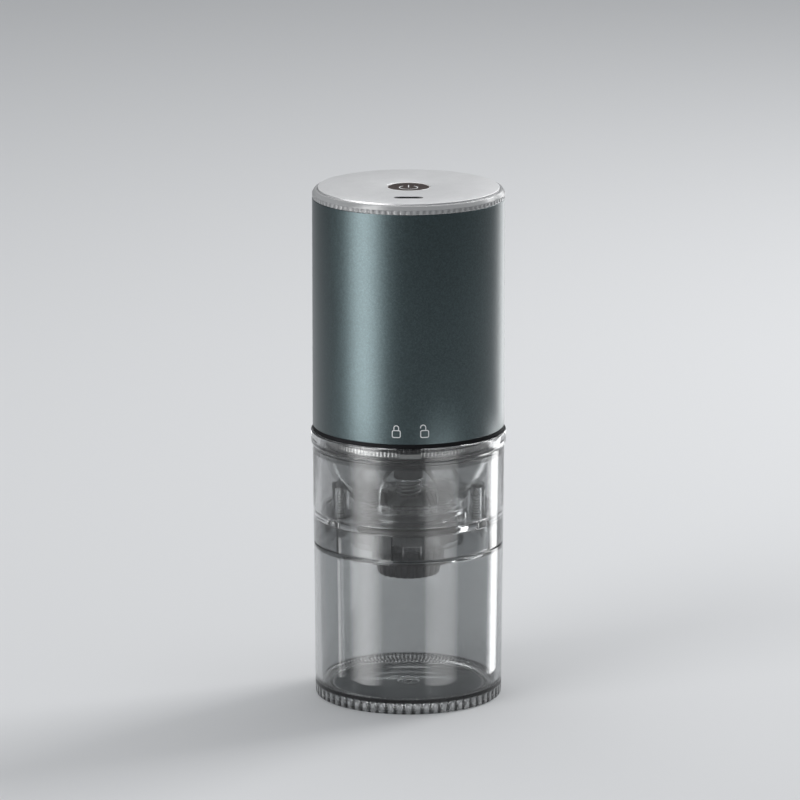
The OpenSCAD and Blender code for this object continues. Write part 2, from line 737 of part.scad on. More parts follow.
module gearbox_screws() {
    color("silver") around([0, 180], ear_y) translate([0, 0, cover_z])
        screw_down(gearbox_screw_r, gearbox_head_r, gearbox_head_h, gearbox_screw_l);
}

module inner_frame() {
    color([0.85, 0.85, 0.84]) difference() {
        union() {
            translate([0, 0, frame_z]) cylinder(r = frame_r, h = frame_t);
            around(frame_screw_a, frame_screw_r) translate([0, 0, cover_top])
                cylinder(r = frame_boss_r, h = cell_z - cover_top);
            for (s = [-1, 1]) translate([-post_w / 2, s * (post_y + post_t / 2) - post_t / 2, frame_z])
                cube([post_w, post_t, top_plate_z - frame_z + 0.01]);
            translate([0, 0, top_plate_z]) cylinder(r = frame_r, h = top_plate_t);
            around(frame_screw_a, standoff_ring_r) translate([0, 0, top_plate_z])
                cylinder(r = standoff_r, h = board_z - top_plate_z);
        }
        translate([0, 0, frame_z - past]) cylinder(r = gearbox_r + frame_gap, h = frame_t + 2 * past);
        gear_ears(frame_z - past, frame_t + 2 * past, frame_gap);
        around(frame_screw_a, frame_screw_r) translate([0, 0, cover_top - past])
            cylinder(r = screw_r + fit, h = cell_z - cover_top + 2 * past);
        around(frame_screw_a, standoff_ring_r) translate([0, 0, top_plate_z - past])
            cylinder(r = board_screw_r + fit, h = board_z - top_plate_z + 2 * past);
        for (s = [-1, 1]) translate([s * terminal_x, 0, top_plate_z - past])
            cylinder(r = lead_r + 0.6, h = top_plate_t + 2 * past);
    }
}

// ---- Gearbox and motor ---------------------------------------------------------------------------

// Screw ears in front of and behind the housing, or the gap round them
module gear_ears(z, h, gap = 0) {
    r = ear_r + gap;
    for (s = [-1, 1]) {
        translate([0, s * ear_y, z]) cylinder(r = r, h = h);
        translate([-r, s * (ear_y - ear_root / 2) - ear_root / 2, z]) cube([2 * r, ear_root, h]);
    }
}

module gear_housing() {
    tip = ring_pitch_r - addendum;
    color([0.75, 0.76, 0.76]) difference() {
        union() {
            translate([0, 0, gearbox_z]) cylinder(r = gearbox_r, h = gearbox_top - gearbox_z);
            gear_ears(gearbox_z, gearbox_top - gearbox_z);
        }
        translate([0, 0, gearbox_z - past]) cylinder(r = bush_r + 0.02, h = gearbox_floor + 2 * past);
        translate([0, 0, gearbox_z + gearbox_floor]) cylinder(r = tip, h = gearbox_top - gearbox_z);
        translate([0, 0, planet_z - 0.2]) linear_extrude(gearbox_top - planet_z + past)
            polygon(star_points(ring_teeth, tip - 0.01, ring_pitch_r + dedendum, 180 / ring_teeth,
                0.42, 0.76));
        around([0, 180], ear_y) translate([0, 0, gearbox_z - past])
            cylinder(r = gearbox_screw_r + fit, h = gearbox_screw_l);
    }
}

module output_bush() {
    color("peru") ring(output_r + fit, bush_r, gearbox_z, gearbox_floor);
}

module output_washer() {
    color("silver") ring(output_r + fit, bush_r, gearbox_z + gearbox_floor + fit, output_washer_t);
}

module planet_carrier() {
    color([0.6, 0.6, 0.62]) {
        translate([0, 0, socket_top + 0.2]) cylinder(r = output_r, h = carrier_z - socket_top - 0.19);
        translate([0, 0, carrier_z]) cylinder(r = carrier_r, h = carrier_t);
        for (i = [0 : 2]) rotate([0, 0, i * 120]) translate([planet_ring_r, 0, carrier_z + carrier_t - 0.01])
            cylinder(r = pin_r, h = planet_top - carrier_z - carrier_t + 0.4);
    }
}

module drive_coupler() {
    color([0.12, 0.12, 0.13]) union() {
        difference() {
            translate([0, 0, coupler_z]) cylinder(r = coupler_r, h = coupler_top - coupler_z);
            translate([0, 0, coupler_z - past]) cylinder(r = socket_r, h = socket_top - coupler_z + past);
            translate([0, 0, socket_top - past])
                cylinder(r = output_r + 0.02, h = coupler_top - socket_top + 2 * past);
        }
        for (a = [0, 180]) sector(dog_r, socket_r + 0.3, [a - dog_a, a + dog_a], coupler_z + 0.3,
            socket_top - coupler_z - 0.2);
    }
}

// The gap of a planet gear faces the sun's tooth, so each planet is turned by half a pitch
module planet_gear(i) {
    color([0.92, 0.92, 0.9]) rotate([0, 0, i * 120]) translate([planet_ring_r, 0, planet_z]) difference() {
        rotate([0, 0, 180 / planet_teeth]) linear_extrude(gear_w) polygon(star_points(planet_teeth,
            planet_pitch_r - dedendum * 0.9, planet_pitch_r + addendum, 0, 0.2, 0.52));
        translate([0, 0, -past]) cylinder(r = pin_r + fit, h = gear_w + 2 * past);
    }
}

module planet_gear_1() {
    planet_gear(0);
}

module planet_gear_2() {
    planet_gear(1);
}

module planet_gear_3() {
    planet_gear(2);
}

module sun_pinion() {
    color("goldenrod") translate([0, 0, planet_z]) difference() {
        linear_extrude(gear_w + 0.3) polygon(star_points(sun_teeth, sun_pitch_r - dedendum * 0.9,
            sun_pitch_r + addendum, 0, 0.2, 0.52));
        translate([0, 0, -past]) cylinder(r = motor_shaft_r + 0.01, h = gear_w + 0.3 + 2 * past);
    }
}

module motor_shaft() {
    color("silver") translate([0, 0, planet_z + 0.1])
        cylinder(r = motor_shaft_r, h = motor_top + endcap_h - 1 - planet_z);
}

module motor_plate() {
    color([0.7, 0.71, 0.72]) difference() {
        translate([0, 0, gearbox_top]) cylinder(r = gearbox_r, h = motor_plate_t);
        translate([0, 0, gearbox_top - past]) cylinder(r = motor_boss_r + fit, h = motor_plate_t + 2 * past);
        for (s = [-1, 1]) translate([s * motor_screw_x, 0, gearbox_top - 0.01])
            cylinder(r1 = motor_head_r + fit, r2 = motor_screw_r + fit, h = motor_plate_t + 0.02);
    }
}

module motor_screws() {
    color("silver") for (s = [-1, 1]) translate([s * motor_screw_x, 0, gearbox_top]) {
        cylinder(r1 = motor_head_r, r2 = motor_screw_r, h = motor_plate_t);
        cylinder(r = motor_screw_r, h = motor_plate_t + motor_screw_in);
    }
}

module motor_can() {
    color([0.72, 0.73, 0.74]) difference() {
        union() {
            translate([0, 0, motor_z]) cylinder(r = motor_r, h = motor_h);
            translate([0, 0, gearbox_top + fit]) cylinder(r = motor_boss_r, h = motor_plate_t);
        }
        translate([0, 0, gearbox_top - past])
            cylinder(r = motor_shaft_r + 0.06, h = motor_h + motor_plate_t + 2 * past);
        for (s = [-1, 1]) translate([s * motor_screw_x, 0, motor_z - past])
            cylinder(r = motor_screw_r + fit, h = motor_screw_in + 2 * past);
    }
}

module motor_endcap() {
    color([0.1, 0.1, 0.1]) difference() {
        translate([0, 0, motor_top]) cylinder(r = motor_r, h = endcap_h);
        translate([0, 0, motor_top - past]) cylinder(r = motor_shaft_r + 0.06, h = endcap_h + 2 * past);
    }
}

module motor_terminals() {
    color("goldenrod") for (s = [-1, 1])
        translate([s * terminal_x - terminal_w / 2, -terminal_t / 2, motor_top + endcap_h])
            cube([terminal_w, terminal_t, terminal_h]);
}

module motor_leads() {
    color("firebrick") for (s = [-1, 1]) translate([s * terminal_x, 0, motor_top + endcap_h + terminal_h])
        cylinder(r = lead_r, h = board_z - motor_top - endcap_h - terminal_h);
}

// ---- Battery, board and port ---------------------------------------------------------------------

module battery_cells() {
    color([0.2, 0.35, 0.6]) for (s = [-1, 1]) translate([s * cell_x, 0, cell_z]) {
        cylinder(r = cell_r, h = cell_h - pole_h);
        cylinder(r = pole_r, h = cell_h);
    }
}

module battery_contacts() {
    color([0.8, 0.78, 0.7]) for (s = [-1, 1]) translate([s * cell_x, 0, cell_z + cell_h])
        cylinder(r = contact_r, h = top_plate_z - cell_z - cell_h);
}

module control_board() {
    color("darkgreen") difference() {
        translate([0, 0, board_z]) cylinder(r = board_r, h = board_t);
        around(frame_screw_a, standoff_ring_r) translate([0, 0, board_z - past])
            cylinder(r = board_screw_r + 3 * fit, h = board_t + 2 * past);
    }
}

module board_screws() {
    color("silver") around(frame_screw_a, standoff_ring_r) {
        translate([0, 0, board_top]) cylinder(r = board_head_r, h = board_head_h);
        translate([0, 0, board_top - board_screw_l]) cylinder(r = board_screw_r, h = board_screw_l + 0.01);
    }
}

module tact_switch() {
    color([0.15, 0.15, 0.16]) {
        translate([-switch_w / 2, -switch_w / 2, board_top]) cube([switch_w, switch_w, switch_h]);
        translate([0, 0, board_top + switch_h - 0.01]) cylinder(r = plunger_r, h = plunger_h + 0.01);
    }
}

module indicator_led() {
    color("white") translate([-led_w / 2, -led_y - led_t / 2, board_top]) cube([led_w, led_t, led_h]);
}

module usb_c_socket() {
    color("silver") translate([0, -port_y, board_top]) {
        difference() {
            round_slot(socket_w, socket_d, socket_h);
            translate([0, 0, socket_h - socket_depth])
                round_slot(socket_w - 2 * socket_wall, socket_d - 2 * socket_wall, socket_depth + past);
        }
        translate([-tongue_w / 2, -tongue_t / 2, socket_h - socket_depth - 0.01])
            cube([tongue_w, tongue_t, socket_depth - 0.6]);
    }
}

// ---- Shell, lid and button -----------------------------------------------------------------------

module body_shell() {
    color([0.2, 0.33, 0.35]) ring(inside_r, shell_r, shell_z, shell_h);
}

module lid_rim() {
    band_top = shell_top + rim_band_h;
    rim_top = lid_top - 0.5;
    recess_r = plate_r + 0.1;
    spigot_r = inside_r - 0.2;
    spigot_z = shell_top - rim_spigot_h;
    color([0.85, 0.86, 0.87, 0.6]) difference() {
        union() {
            translate([0, 0, shell_top]) linear_extrude(rim_band_h)
                polygon(star_points(rim_teeth, shell_r - 0.45, shell_r - 0.05, 0, 0.3, 0.7));
            rotate_extrude() polygon([[0, spigot_z], [spigot_r, spigot_z], [spigot_r, band_top - 0.05],
                [shell_r, band_top - 0.05], [shell_r, band_top + 0.5], [shell_r - 0.3, band_top + 1.1],
                [shell_r - 0.9, rim_top - 0.15], [recess_r + 0.3, rim_top], [0, rim_top]]);
        }
        translate([0, 0, plate_z]) cylinder(r = recess_r, h = rim_h);
        translate([0, 0, spigot_z - past])
            cylinder(r = spigot_r - rim_spigot_t, h = lid_disc_z - spigot_z + past);
        translate([0, 0, lid_disc_z - past]) cylinder(r = trim_r + fit, h = lid_disc_t + 2 * past);
        translate([0, -port_y, lid_disc_z - past]) round_slot(slot_l, slot_w, lid_disc_t + 2 * past);
    }
}

module lid_plate() {
    color([0.78, 0.78, 0.79]) difference() {
        translate([0, 0, plate_z]) cylinder(r = plate_r, h = plate_t);
        translate([0, 0, plate_z - past]) cylinder(r = trim_r + fit, h = plate_t + 2 * past);
        translate([0, -port_y, plate_z - past]) round_slot(slot_l, slot_w, plate_t + 2 * past);
    }
}

module button_ring() {
    color("white") {
        ring(button_r + button_gap, trim_r, lid_disc_z - 0.01, lid_top - lid_disc_z + 0.01);
        ring(button_r + button_gap, trim_flange_r, lid_disc_z - trim_flange_h, trim_flange_h);
    }
}

module power_button() {
    color([0.2, 0.14, 0.12]) {
        translate([0, 0, button_flange_z]) cylinder(r = button_r, h = button_top - button_flange_z);
        translate([0, 0, button_flange_z]) cylinder(r = button_r + button_flange_w, h = button_flange_h);
        translate([0, 0, stem_z]) cylinder(r = stem_r, h = button_flange_z - stem_z + 0.01);
    }
}

grounds_cup();
hopper_wall();
bean_bowl();
carrier_screws();
ring_burr();
bearing_bridge();
bearing_hub();
spindle_shaft();
drive_head();
thrust_washer();
retaining_clip();
burr_spring();
inner_burr();
burr_washer();
adjust_knob();
knob_nut();
bayonet_ring();
hopper_seal();
base_cover();
frame_screws();
gearbox_screws();
gear_housing();
output_bush();
output_washer();
planet_carrier();
drive_coupler();
planet_gear_1();
planet_gear_2();
planet_gear_3();
sun_pinion();
motor_shaft();
motor_plate();
motor_screws();
motor_can();
motor_endcap();
motor_terminals();
motor_leads();
inner_frame();
battery_cells();
battery_contacts();
control_board();
board_screws();
tact_switch();
indicator_led();
usb_c_socket();
body_shell();
lid_rim();
lid_plate();
button_ring();
power_button();
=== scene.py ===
import math

import bpy
import bmesh
from mathutils import Matrix, Vector


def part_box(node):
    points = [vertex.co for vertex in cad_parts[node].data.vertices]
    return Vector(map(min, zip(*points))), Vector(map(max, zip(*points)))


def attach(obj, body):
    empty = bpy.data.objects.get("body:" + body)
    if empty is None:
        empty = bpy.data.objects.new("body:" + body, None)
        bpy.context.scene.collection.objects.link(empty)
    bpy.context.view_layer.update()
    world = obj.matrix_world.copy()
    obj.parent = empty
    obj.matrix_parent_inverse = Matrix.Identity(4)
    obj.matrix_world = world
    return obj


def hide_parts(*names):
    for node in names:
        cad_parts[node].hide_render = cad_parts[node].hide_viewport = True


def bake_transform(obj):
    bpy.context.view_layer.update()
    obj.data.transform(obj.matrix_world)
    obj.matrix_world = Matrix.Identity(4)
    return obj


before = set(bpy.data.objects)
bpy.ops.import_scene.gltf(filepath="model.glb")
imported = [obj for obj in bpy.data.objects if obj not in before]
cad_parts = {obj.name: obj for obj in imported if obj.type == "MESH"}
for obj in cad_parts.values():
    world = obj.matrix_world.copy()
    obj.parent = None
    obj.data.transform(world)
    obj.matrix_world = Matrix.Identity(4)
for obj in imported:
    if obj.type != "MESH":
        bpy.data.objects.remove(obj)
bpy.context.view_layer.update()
MM = 0.001


# ---- Studio --------------------------------------------------------------------------------------
# A pale matt floor that the grinder stands on, seen from a little above, as on a product table.
# Soft box lamps stand left, right and behind, and the room itself gives an even light.

VIEW_TILT = math.radians(12.92)
VIEW_DISTANCE = 2.373
VIEW_TARGET = Vector((-0.0031, 0.0, 0.1097))
LENS_MM = 292.5
FLOOR_COLOUR = (0.70, 0.705, 0.715, 1)

camera_data = bpy.data.cameras.new("camera")
camera_data.lens = LENS_MM
camera_data.clip_end = 20
camera = bpy.data.objects.new("camera", camera_data)
camera.location = VIEW_TARGET + Vector((0, -math.cos(VIEW_TILT), math.sin(VIEW_TILT))) * VIEW_DISTANCE
camera.rotation_euler = (math.radians(90) - VIEW_TILT, 0, 0)
bpy.context.scene.collection.objects.link(camera)
bpy.context.scene.camera = camera
bpy.context.scene.view_settings.view_transform = "Standard"

cycles = bpy.context.scene.cycles
cycles.max_bounces = 24
cycles.transmission_bounces = 24
cycles.transparent_max_bounces = 24
cycles.glossy_bounces = 8
cycles.caustics_refractive = False
cycles.caustics_reflective = False

world = bpy.data.worlds.new("room")
bpy.context.scene.world = world
world.use_nodes = True
world.node_tree.nodes["Background"].inputs["Color"].default_value = (0.9, 0.95, 1.0, 1)
world.node_tree.nodes["Background"].inputs["Strength"].default_value = 0.22


def lamp(name, place, width, height, power, aim_z=0.1):
    """A soft box that faces the grinder's axis at a height."""
    light = bpy.data.lights.new(name, "AREA")
    light.shape = "RECTANGLE"
    light.size = width
    light.size_y = height
    light.energy = power
    box = bpy.data.objects.new(name, light)
    box.location = place
    aim = Vector((0, 0, aim_z)) - Vector(place)
    box.rotation_euler = aim.to_track_quat("-Z", "Y").to_euler()
    bpy.context.scene.collection.objects.link(box)
    return box


lamp("left_softbox", (-0.9, -0.8, 0.9), 0.7, 1.0, 6.5)
lamp("right_back_softbox", (0.9, 0.7, 1.0), 0.5, 0.8, 11.0)
lamp("top_softbox", (0.0, 0.5, 1.9), 1.8, 2.2, 16.0)


class Socket:
    """A value in a material's node tree, so that shader maths is written as arithmetic."""

    def __init__(self, tree, output=None):
        self.tree = tree
        self.output = output

    def add(self, kind, sockets=None, out=0, **settings):
        """Adds one node: its settings first, then values or links into its sockets."""
        node = self.tree.nodes.new("ShaderNode" + kind)
        for key, value in settings.items():
            setattr(node, key, value)
        for key, value in (sockets or {}).items():
            if isinstance(value, Socket):
                self.tree.links.new(value.output, node.inputs[key])
            else:
                node.inputs[key].default_value = value
        return Socket(self.tree, node.outputs[out] if node.outputs else None)

    def maths(self, operation, a, b=0.0):
        return self.add("Math", {0: a, 1: b}, operation=operation)

    def __add__(self, other):
        return self.maths("ADD", self, other)

    def __sub__(self, other):
        return self.maths("SUBTRACT", self, other)

    def __rsub__(self, other):
        return self.maths("SUBTRACT", other, self)

    def __mul__(self, other):
        return self.maths("MULTIPLY", self, other)

    def __truediv__(self, other):
        return self.maths("DIVIDE", self, other)

    def __pow__(self, other):
        return self.maths("POWER", self, other)

    __radd__ = __add__
    __rmul__ = __mul__

    def noise(self, scale, detail=2.0, stretch=(1, 1, 1)):
        """Noise in the object's own space, scale in cells per metre."""
        place = self.add("TexCoord", out="Object")
        place = self.add("Mapping", {"Vector": place, "Scale": stretch})
        return self.add("TexNoise", {"Vector": place, "Scale": scale, "Detail": detail})

    def blend(self, factor, a, b):
        """A colour between a and b, each three numbers or a socket."""
        a, b = (c if isinstance(c, Socket) else (*c, 1) for c in (a, b))
        return self.add("Mix", {"Factor": factor, 6: a, 7: b}, out=2, data_type="RGBA")

    def polar(self):
        """A point's distance from the axis and height in millimetres, and its turn from the front in
        degrees."""
        place = self.add("TexCoord", out="Object")
        x, y, z = (self.add("SeparateXYZ", {0: place}, out=axis) / MM for axis in "XYZ")
        return (x * x + y * y) ** 0.5, z, self.maths("ARCTAN2", x, 0 - y) * math.degrees(1)

    def near(self, value, half):
        """1 where this is within half of a value, 0 elsewhere, with a short soft edge."""
        return self.maths("SUBTRACT", 1.5, self.maths("ABSOLUTE", self - value) / half).clamp()

    def within(self, low, high, edge=0.2):
        """1 between two values, 0 outside them."""
        return ((self - low) / edge + 0.5).clamp() * ((high - self) / edge + 0.5).clamp()

    def ripple(self, count):
        """A wave round the axis for a turn in degrees: 0 at the front, 1 half a wave on, count times."""
        return 0.5 - 0.5 * self.maths("COSINE", self * math.radians(count))

    def clamp(self):
        return self.add("Clamp", {"Value": self})

    def bump(self, height, strength, distance):
        return self.add("Bump", {"Height": height, "Strength": strength, "Distance": distance})


WALL_R = 0.035
STRIP_GAP = 0.04
CLEAR_TOP = 0.0915
STRIP_TOP = 0.30


def around(r, turn, z=0.0):
    """The point at a distance from the axis, a turn in radians from the front towards +X, and a height."""
    return Vector((r * math.sin(turn), -r * math.cos(turn), z))


def shine_strip(name, first, last, low, top, radiance, softness=1.5):
    """A lit strip that stands beside the grinder and shows only as a soft streak in its gloss.

    The streak lies between two places on the wall, in degrees from the front towards +X. The strip
    reaches from low to top, and a larger softness fades its two sides more.
    """
    ends = [around(WALL_R, a) + around(STRIP_GAP, 2 * a) for a in (math.radians(first), math.radians(last))]
    x, y = ((ends[0] + ends[1]) / 2).xy
    width = (ends[0] - ends[1]).length
    height = top - low
    level = low + height / 2
    strip = lamp(name, (x, y, level), width, height, radiance * math.pi * width * height, level)
    only_in_gloss(strip, softness)


def only_in_gloss(strip, softness):
    """Hides a lamp from everything but gloss, and fades its two sides."""
    for ray in ("camera", "diffuse", "volume_scatter"):
        setattr(strip, "visible_" + ray, False)
    strip.data.use_nodes = True
    strip.data.node_tree.nodes.clear()
    tree = Socket(strip.data.node_tree)
    across = tree.add("SeparateXYZ", {0: tree.add("NewGeometry", out="Parametric")}, out="X")
    mirrored = tree.maths("MINIMUM", tree.add("LightPath", out="Glossy Depth"), 1.0)
    glow = tree.add("Emission", {"Strength": (across * (1 - across) * 4) ** softness * mirrored})
    tree.add("OutputLight", {"Surface": glow})


shine_strip("left_low_strip", -15, -40, 0, CLEAR_TOP, 3.8)
shine_strip("left_high_strip", -15, -40, CLEAR_TOP, STRIP_TOP, 6.6)
shine_strip("front_strip", 10, 32, 0, CLEAR_TOP, 2.2, 0.5)
shine_strip("left_line", -45, -49, 0, 0.049, 3.2)
shine_strip("right_low_strip", 59, 71, 0, CLEAR_TOP, 5.0, 0.8)
shine_strip("right_high_strip", 66, 84, CLEAR_TOP, STRIP_TOP, 2.6)
BAR_W, BAR_H, BAR_Z = 0.1, 0.05, 0.03
BAR_RADIANCE = 8
back_bar = lamp("back_low_bar", (0.0, 0.30, BAR_Z), BAR_W, BAR_H,
                BAR_RADIANCE * math.pi * BAR_W * BAR_H, BAR_Z)
only_in_gloss(back_bar, 0.5)


# ---- Grounds cup ---------------------------------------------------------------------------------
# The cup is one shot of smoky clear plastic: a ribbed foot, a slightly flared wall, and a narrower neck
# with raised bayonet tracks that slide up inside the hopper's skirt. It stands on its foot ring.

THIRDS = (0, 120, 240)
FOOT_RIBS = 64
SMOKE = (0.54, 0.552, 0.556)


def new_material(name):
    """An empty material and the start of its node tree."""
    material = bpy.data.materials.new(name)
    material.use_nodes = True
    material.node_tree.nodes.clear()
    return material, Socket(material.node_tree)


def surface(material, shader):
    """Ends a material's tree in its output."""
    shader.add("OutputMaterial", {"Surface": shader})
    return material


def clear_plastic(name, tint, painted_shade=None, facets=None, frost=None):
    """Polished clear plastic with faint moulding waves, which lets the lamps through.

    The last three arguments are functions of the tree that give masks: where black is mixed in as painted
    shade, where small cut faces throw the light back like mirrors, and where white is mixed in as painted
    glints.
    """
    material, tree = new_material(name)
    waves = tree.noise(90, 1.0, (1, 1, 0.35))
    dust = tree.noise(2600, 3.0)
    body = tree.add("BsdfPrincipled", {
        "Base Color": tree.blend(waves, tint, [c * 0.97 for c in tint]),
        "Roughness": 0.03 + 0.02 * dust,
        "Normal": tree.bump(waves, 0.08, 0.0006),
        "IOR": 1.49, "Transmission Weight": 1.0})
    if facets:
        mirror = tree.add("BsdfPrincipled", {"Base Color": (0.9, 0.9, 0.9, 1), "Metallic": 0.85,
                                             "Roughness": 0.22})
        body = tree.add("MixShader", {0: facets(tree), 1: body, 2: mirror})
    # Painted glints: a white matt shader is mixed in where the mask says.
    if frost:
        white = tree.add("BsdfPrincipled", {"Base Color": (0.93, 0.93, 0.93, 1), "Roughness": 0.3})
        body = tree.add("MixShader", {0: frost(tree), 1: body, 2: white})
    # Painted shade: a near-black shader is mixed in where the mask says.
    if painted_shade:
        dark = tree.add("BsdfPrincipled", {"Base Color": (0.01, 0.01, 0.011, 1), "Roughness": 0.3,
                                           "Specular IOR Level": 0.3})
        body = tree.add("MixShader", {0: painted_shade(tree), 1: body, 2: dark})
    through = tree.add("BsdfTransparent", {"Color": (*[math.sqrt(c) for c in tint], 1)})
    shadow = tree.add("LightPath", out="Is Shadow Ray")
    return surface(material, tree.add("MixShader", {0: shadow, 1: body, 2: through}))


def in_mm(node):
    """A CAD node's lowest and highest corners in millimetres."""
    return [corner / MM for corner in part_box(node)]


def filleted(corners, arc_steps=5):
    """A closed outline of (r, z, fillet radius) corners, with each fillet as an arc."""
    outline = []
    for i, (r, z, radius) in enumerate(corners):
        here = Vector((r, z))
        back = Vector(corners[i - 1][:2]) - here
        on = Vector(corners[(i + 1) % len(corners)][:2]) - here
        half = back.angle(on) / 2
        if radius <= 0 or half > math.radians(89.5):
            outline.append((r, z))
            continue
        reach = min(radius / math.tan(half), back.length * 0.48, on.length * 0.48)
        radius = reach * math.tan(half)
        middle = here + (back.normalized() + on.normalized()).normalized() * radius / math.sin(half)
        first = here + back.normalized() * reach - middle
        last = here + on.normalized() * reach - middle
        start = math.atan2(first.y, first.x)
        turn = (math.atan2(last.y, last.x) - start + math.pi) % (2 * math.pi) - math.pi
        for k in range(arc_steps + 1):
            a = start + turn * k / arc_steps
            outline.append((middle.x + radius * math.cos(a), middle.y + radius * math.sin(a)))
    return outline


def finished(name, bm):
    """A mesh object made from a bmesh in millimetres, welded, with its faces turned outwards."""
    bmesh.ops.remove_doubles(bm, verts=bm.verts, dist=1e-4)
    bmesh.ops.recalc_face_normals(bm, faces=bm.faces)
    bmesh.ops.scale(bm, vec=(MM, MM, MM), verts=bm.verts)
    mesh = bpy.data.meshes.new(name)
    bm.to_mesh(mesh)
    bm.free()
    made = bpy.data.objects.new(name, mesh)
    bpy.context.scene.collection.objects.link(made)
    return made


def ripple(turn, count):
    """The same wave as in the materials, for a turn in radians."""
    return 0.5 - 0.5 * math.cos(turn * count)


def lathe(name, outline, steps=192, shape=None):
    """A closed (r, z) outline turned round the axis. shape(r, z, turn) may move a point's r and z."""
    bm = bmesh.new()
    rows = []
    for r, z in outline:
        row = []
        for i in range(steps):
            turn = 2 * math.pi * i / steps
            rr, zz = shape(r, z, turn) if shape else (r, z)
            row.append(bm.verts.new(around(rr, turn, zz)))
        rows.append(row)
    for j, row in enumerate(rows):
        above = rows[(j + 1) % len(rows)]
        if outline[j][0] < 1e-6 and outline[(j + 1) % len(rows)][0] < 1e-6:
            continue
        for i in range(steps):
            k = (i + 1) % steps
            bm.faces.new((row[i], row[k], above[k], above[i]))
    return finished(name, bm)


def sector(name, r_in, r_out, start, end, low, high, steps=16):
    """A block of a ring between two angles in degrees, counted from the front towards +X."""
    bm = bmesh.new()
    rows = []
    for i in range(steps + 1):
        a = math.radians(start + (end - start) * i / steps)
        rows.append([bm.verts.new(around(r, a, z))
                     for r, z in ((r_in, low), (r_out, low), (r_out, high), (r_in, high))])
    for one, two in zip(rows, rows[1:]):
        for k in range(4):
            bm.faces.new((one[k], one[(k + 1) % 4], two[(k + 1) % 4], two[k]))
    bm.faces.new(rows[0])
    bm.faces.new(rows[-1])
    return finished(name, bm)


def combine(target, tools, operation):
    """Joins tools to target, or cuts them from it, and removes the tools."""
    for tool in tools:
        step = target.modifiers.new("combine", "BOOLEAN")
        step.object = tool
        step.operation = operation
        step.solver = "EXACT"
    settled = target.evaluated_get(bpy.context.evaluated_depsgraph_get())
    mesh = bpy.data.meshes.new_from_object(settled)
    target.modifiers.clear()
    target.data = mesh
    for tool in tools:
        bpy.data.objects.remove(tool)


def smooth(made, material, sharp):
    """Gives a piece its material, and smooths it except at edges sharper than an angle in degrees."""
    made.data.materials.clear()
    made.data.materials.append(material)
    made.data.shade_smooth()
    made.data.set_sharp_from_angle(angle=math.radians(sharp))


def dress(made, material, body, nodes=(), sharp=32):
    """Finishes a piece, gives it its body and slot, and hides the nodes it stands for."""
    smooth(made, material, sharp)
    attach(made, body)
    if nodes:
        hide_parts(*nodes)


cup_high = in_mm("grounds_cup")[1]
hopper_low, hopper_high = in_mm("hopper_wall")
SEAM = 0.3
shoulder_z = hopper_low.z - SEAM
neck_top = cup_high.z
cup_r_top = cup_high.x
CUP_R_BASE = 34.2
CUP_WALL = 2.4
CUP_FLOOR = 4.0
CUP_FILLET = 2.0
FOOT_BAND = 4.2
RIB_DEPTH = 0.6
NECK_R = 30.4
NECK_WALL = 1.8
TRACK_R = 32.1
SHOULDER = 1.7
BLOCK_ENDS = (-52, -10.7)
BLOCK_H = 9
LEDGE_ENDS = (-11, 20)
LEDGE_Z = hopper_low.z + 5.15
RIB_MID = 2.0
FOOT_RING_R = 30.3
FLUTES = 128
FLUTE_RING = (27.8, 31.2)
FLUTE_ROWS = (28.6, 28.1, 27.6, 27.2)
FLUTE_DEPTH = 0.5
GATE_R = 3.6


def cup_painted_shade(tree):
    """Painted shade: black mixed into the grooves of the foot, the thick corner over it, the valleys of the
    floor's flutes, and the ends of the bayonet's blocks.
    """
    r, z, turn = tree.polar()
    groove = turn.ripple(FOOT_RIBS) ** 4 * z.near(RIB_MID, 2.1) * r.near(CUP_R_BASE, 0.9)
    corner = z.within(FOOT_BAND - 0.1, FOOT_BAND + 1.4, 0.5) * r.within(CUP_R_BASE - 0.8, CUP_R_BASE + 0.6)
    valley = (1 - turn.ripple(FLUTES)) ** 2 * z.within(CUP_FLOOR - 0.3, CUP_FLOOR + 1.8)
    floor_edge = valley * r.within(FLUTE_RING[0] - 0.4, FLUTE_RING[1] + 0.5, 0.4)
    ends = turn.near(BLOCK_ENDS[0], 0.6) + turn.near(BLOCK_ENDS[1], 0.4)
    line = ends * r.within(NECK_R - 0.2, TRACK_R + 0.4) * z.within(shoulder_z, neck_top)
    return (groove + corner * 0.9 + floor_edge * 0.9 + line).clamp()


def cup_facets(tree):
    """The ribs' faces, the outer faces of the bayonet's blocks, and the fine flutes round the floor."""
    r, z, turn = tree.polar()
    rib = (1 - turn.ripple(FOOT_RIBS)) * r.near(CUP_R_BASE, 0.5) * z.near(RIB_MID, 1.9)
    block = r.within(TRACK_R - 0.2, TRACK_R + 0.2, 0.1) * z.within(shoulder_z, shoulder_z + BLOCK_H)
    crest = turn.ripple(FLUTES) ** 2 * z.within(CUP_FLOOR - 0.3, CUP_FLOOR + 1.8)
    flutes = crest * r.within(FLUTE_RING[0] + 0.1, FLUTE_RING[1] + 0.7)
    return (rib * 0.32 + block * 0.14 + flutes * 0.6).clamp()


def cup_painted_glints(tree):
    """Painted glints: white on the crests of the fine flutes round the floor, in two rows, and on the rim of
    the moulding gate.
    """
    r, z, turn = tree.polar()
    crest = turn.ripple(FLUTES) ** 2 * z.within(CUP_FLOOR - 0.3, CUP_FLOOR + 1.4)
    rows = r.within(28.9, 31.3) + r.within(27.0, 27.9) * 0.8
    gate = r.near(GATE_R + 0.2, 0.4) * z.near(CUP_FLOOR - 0.2, 0.4)
    return (crest * rows * 0.85 + gate * 0.7).clamp()


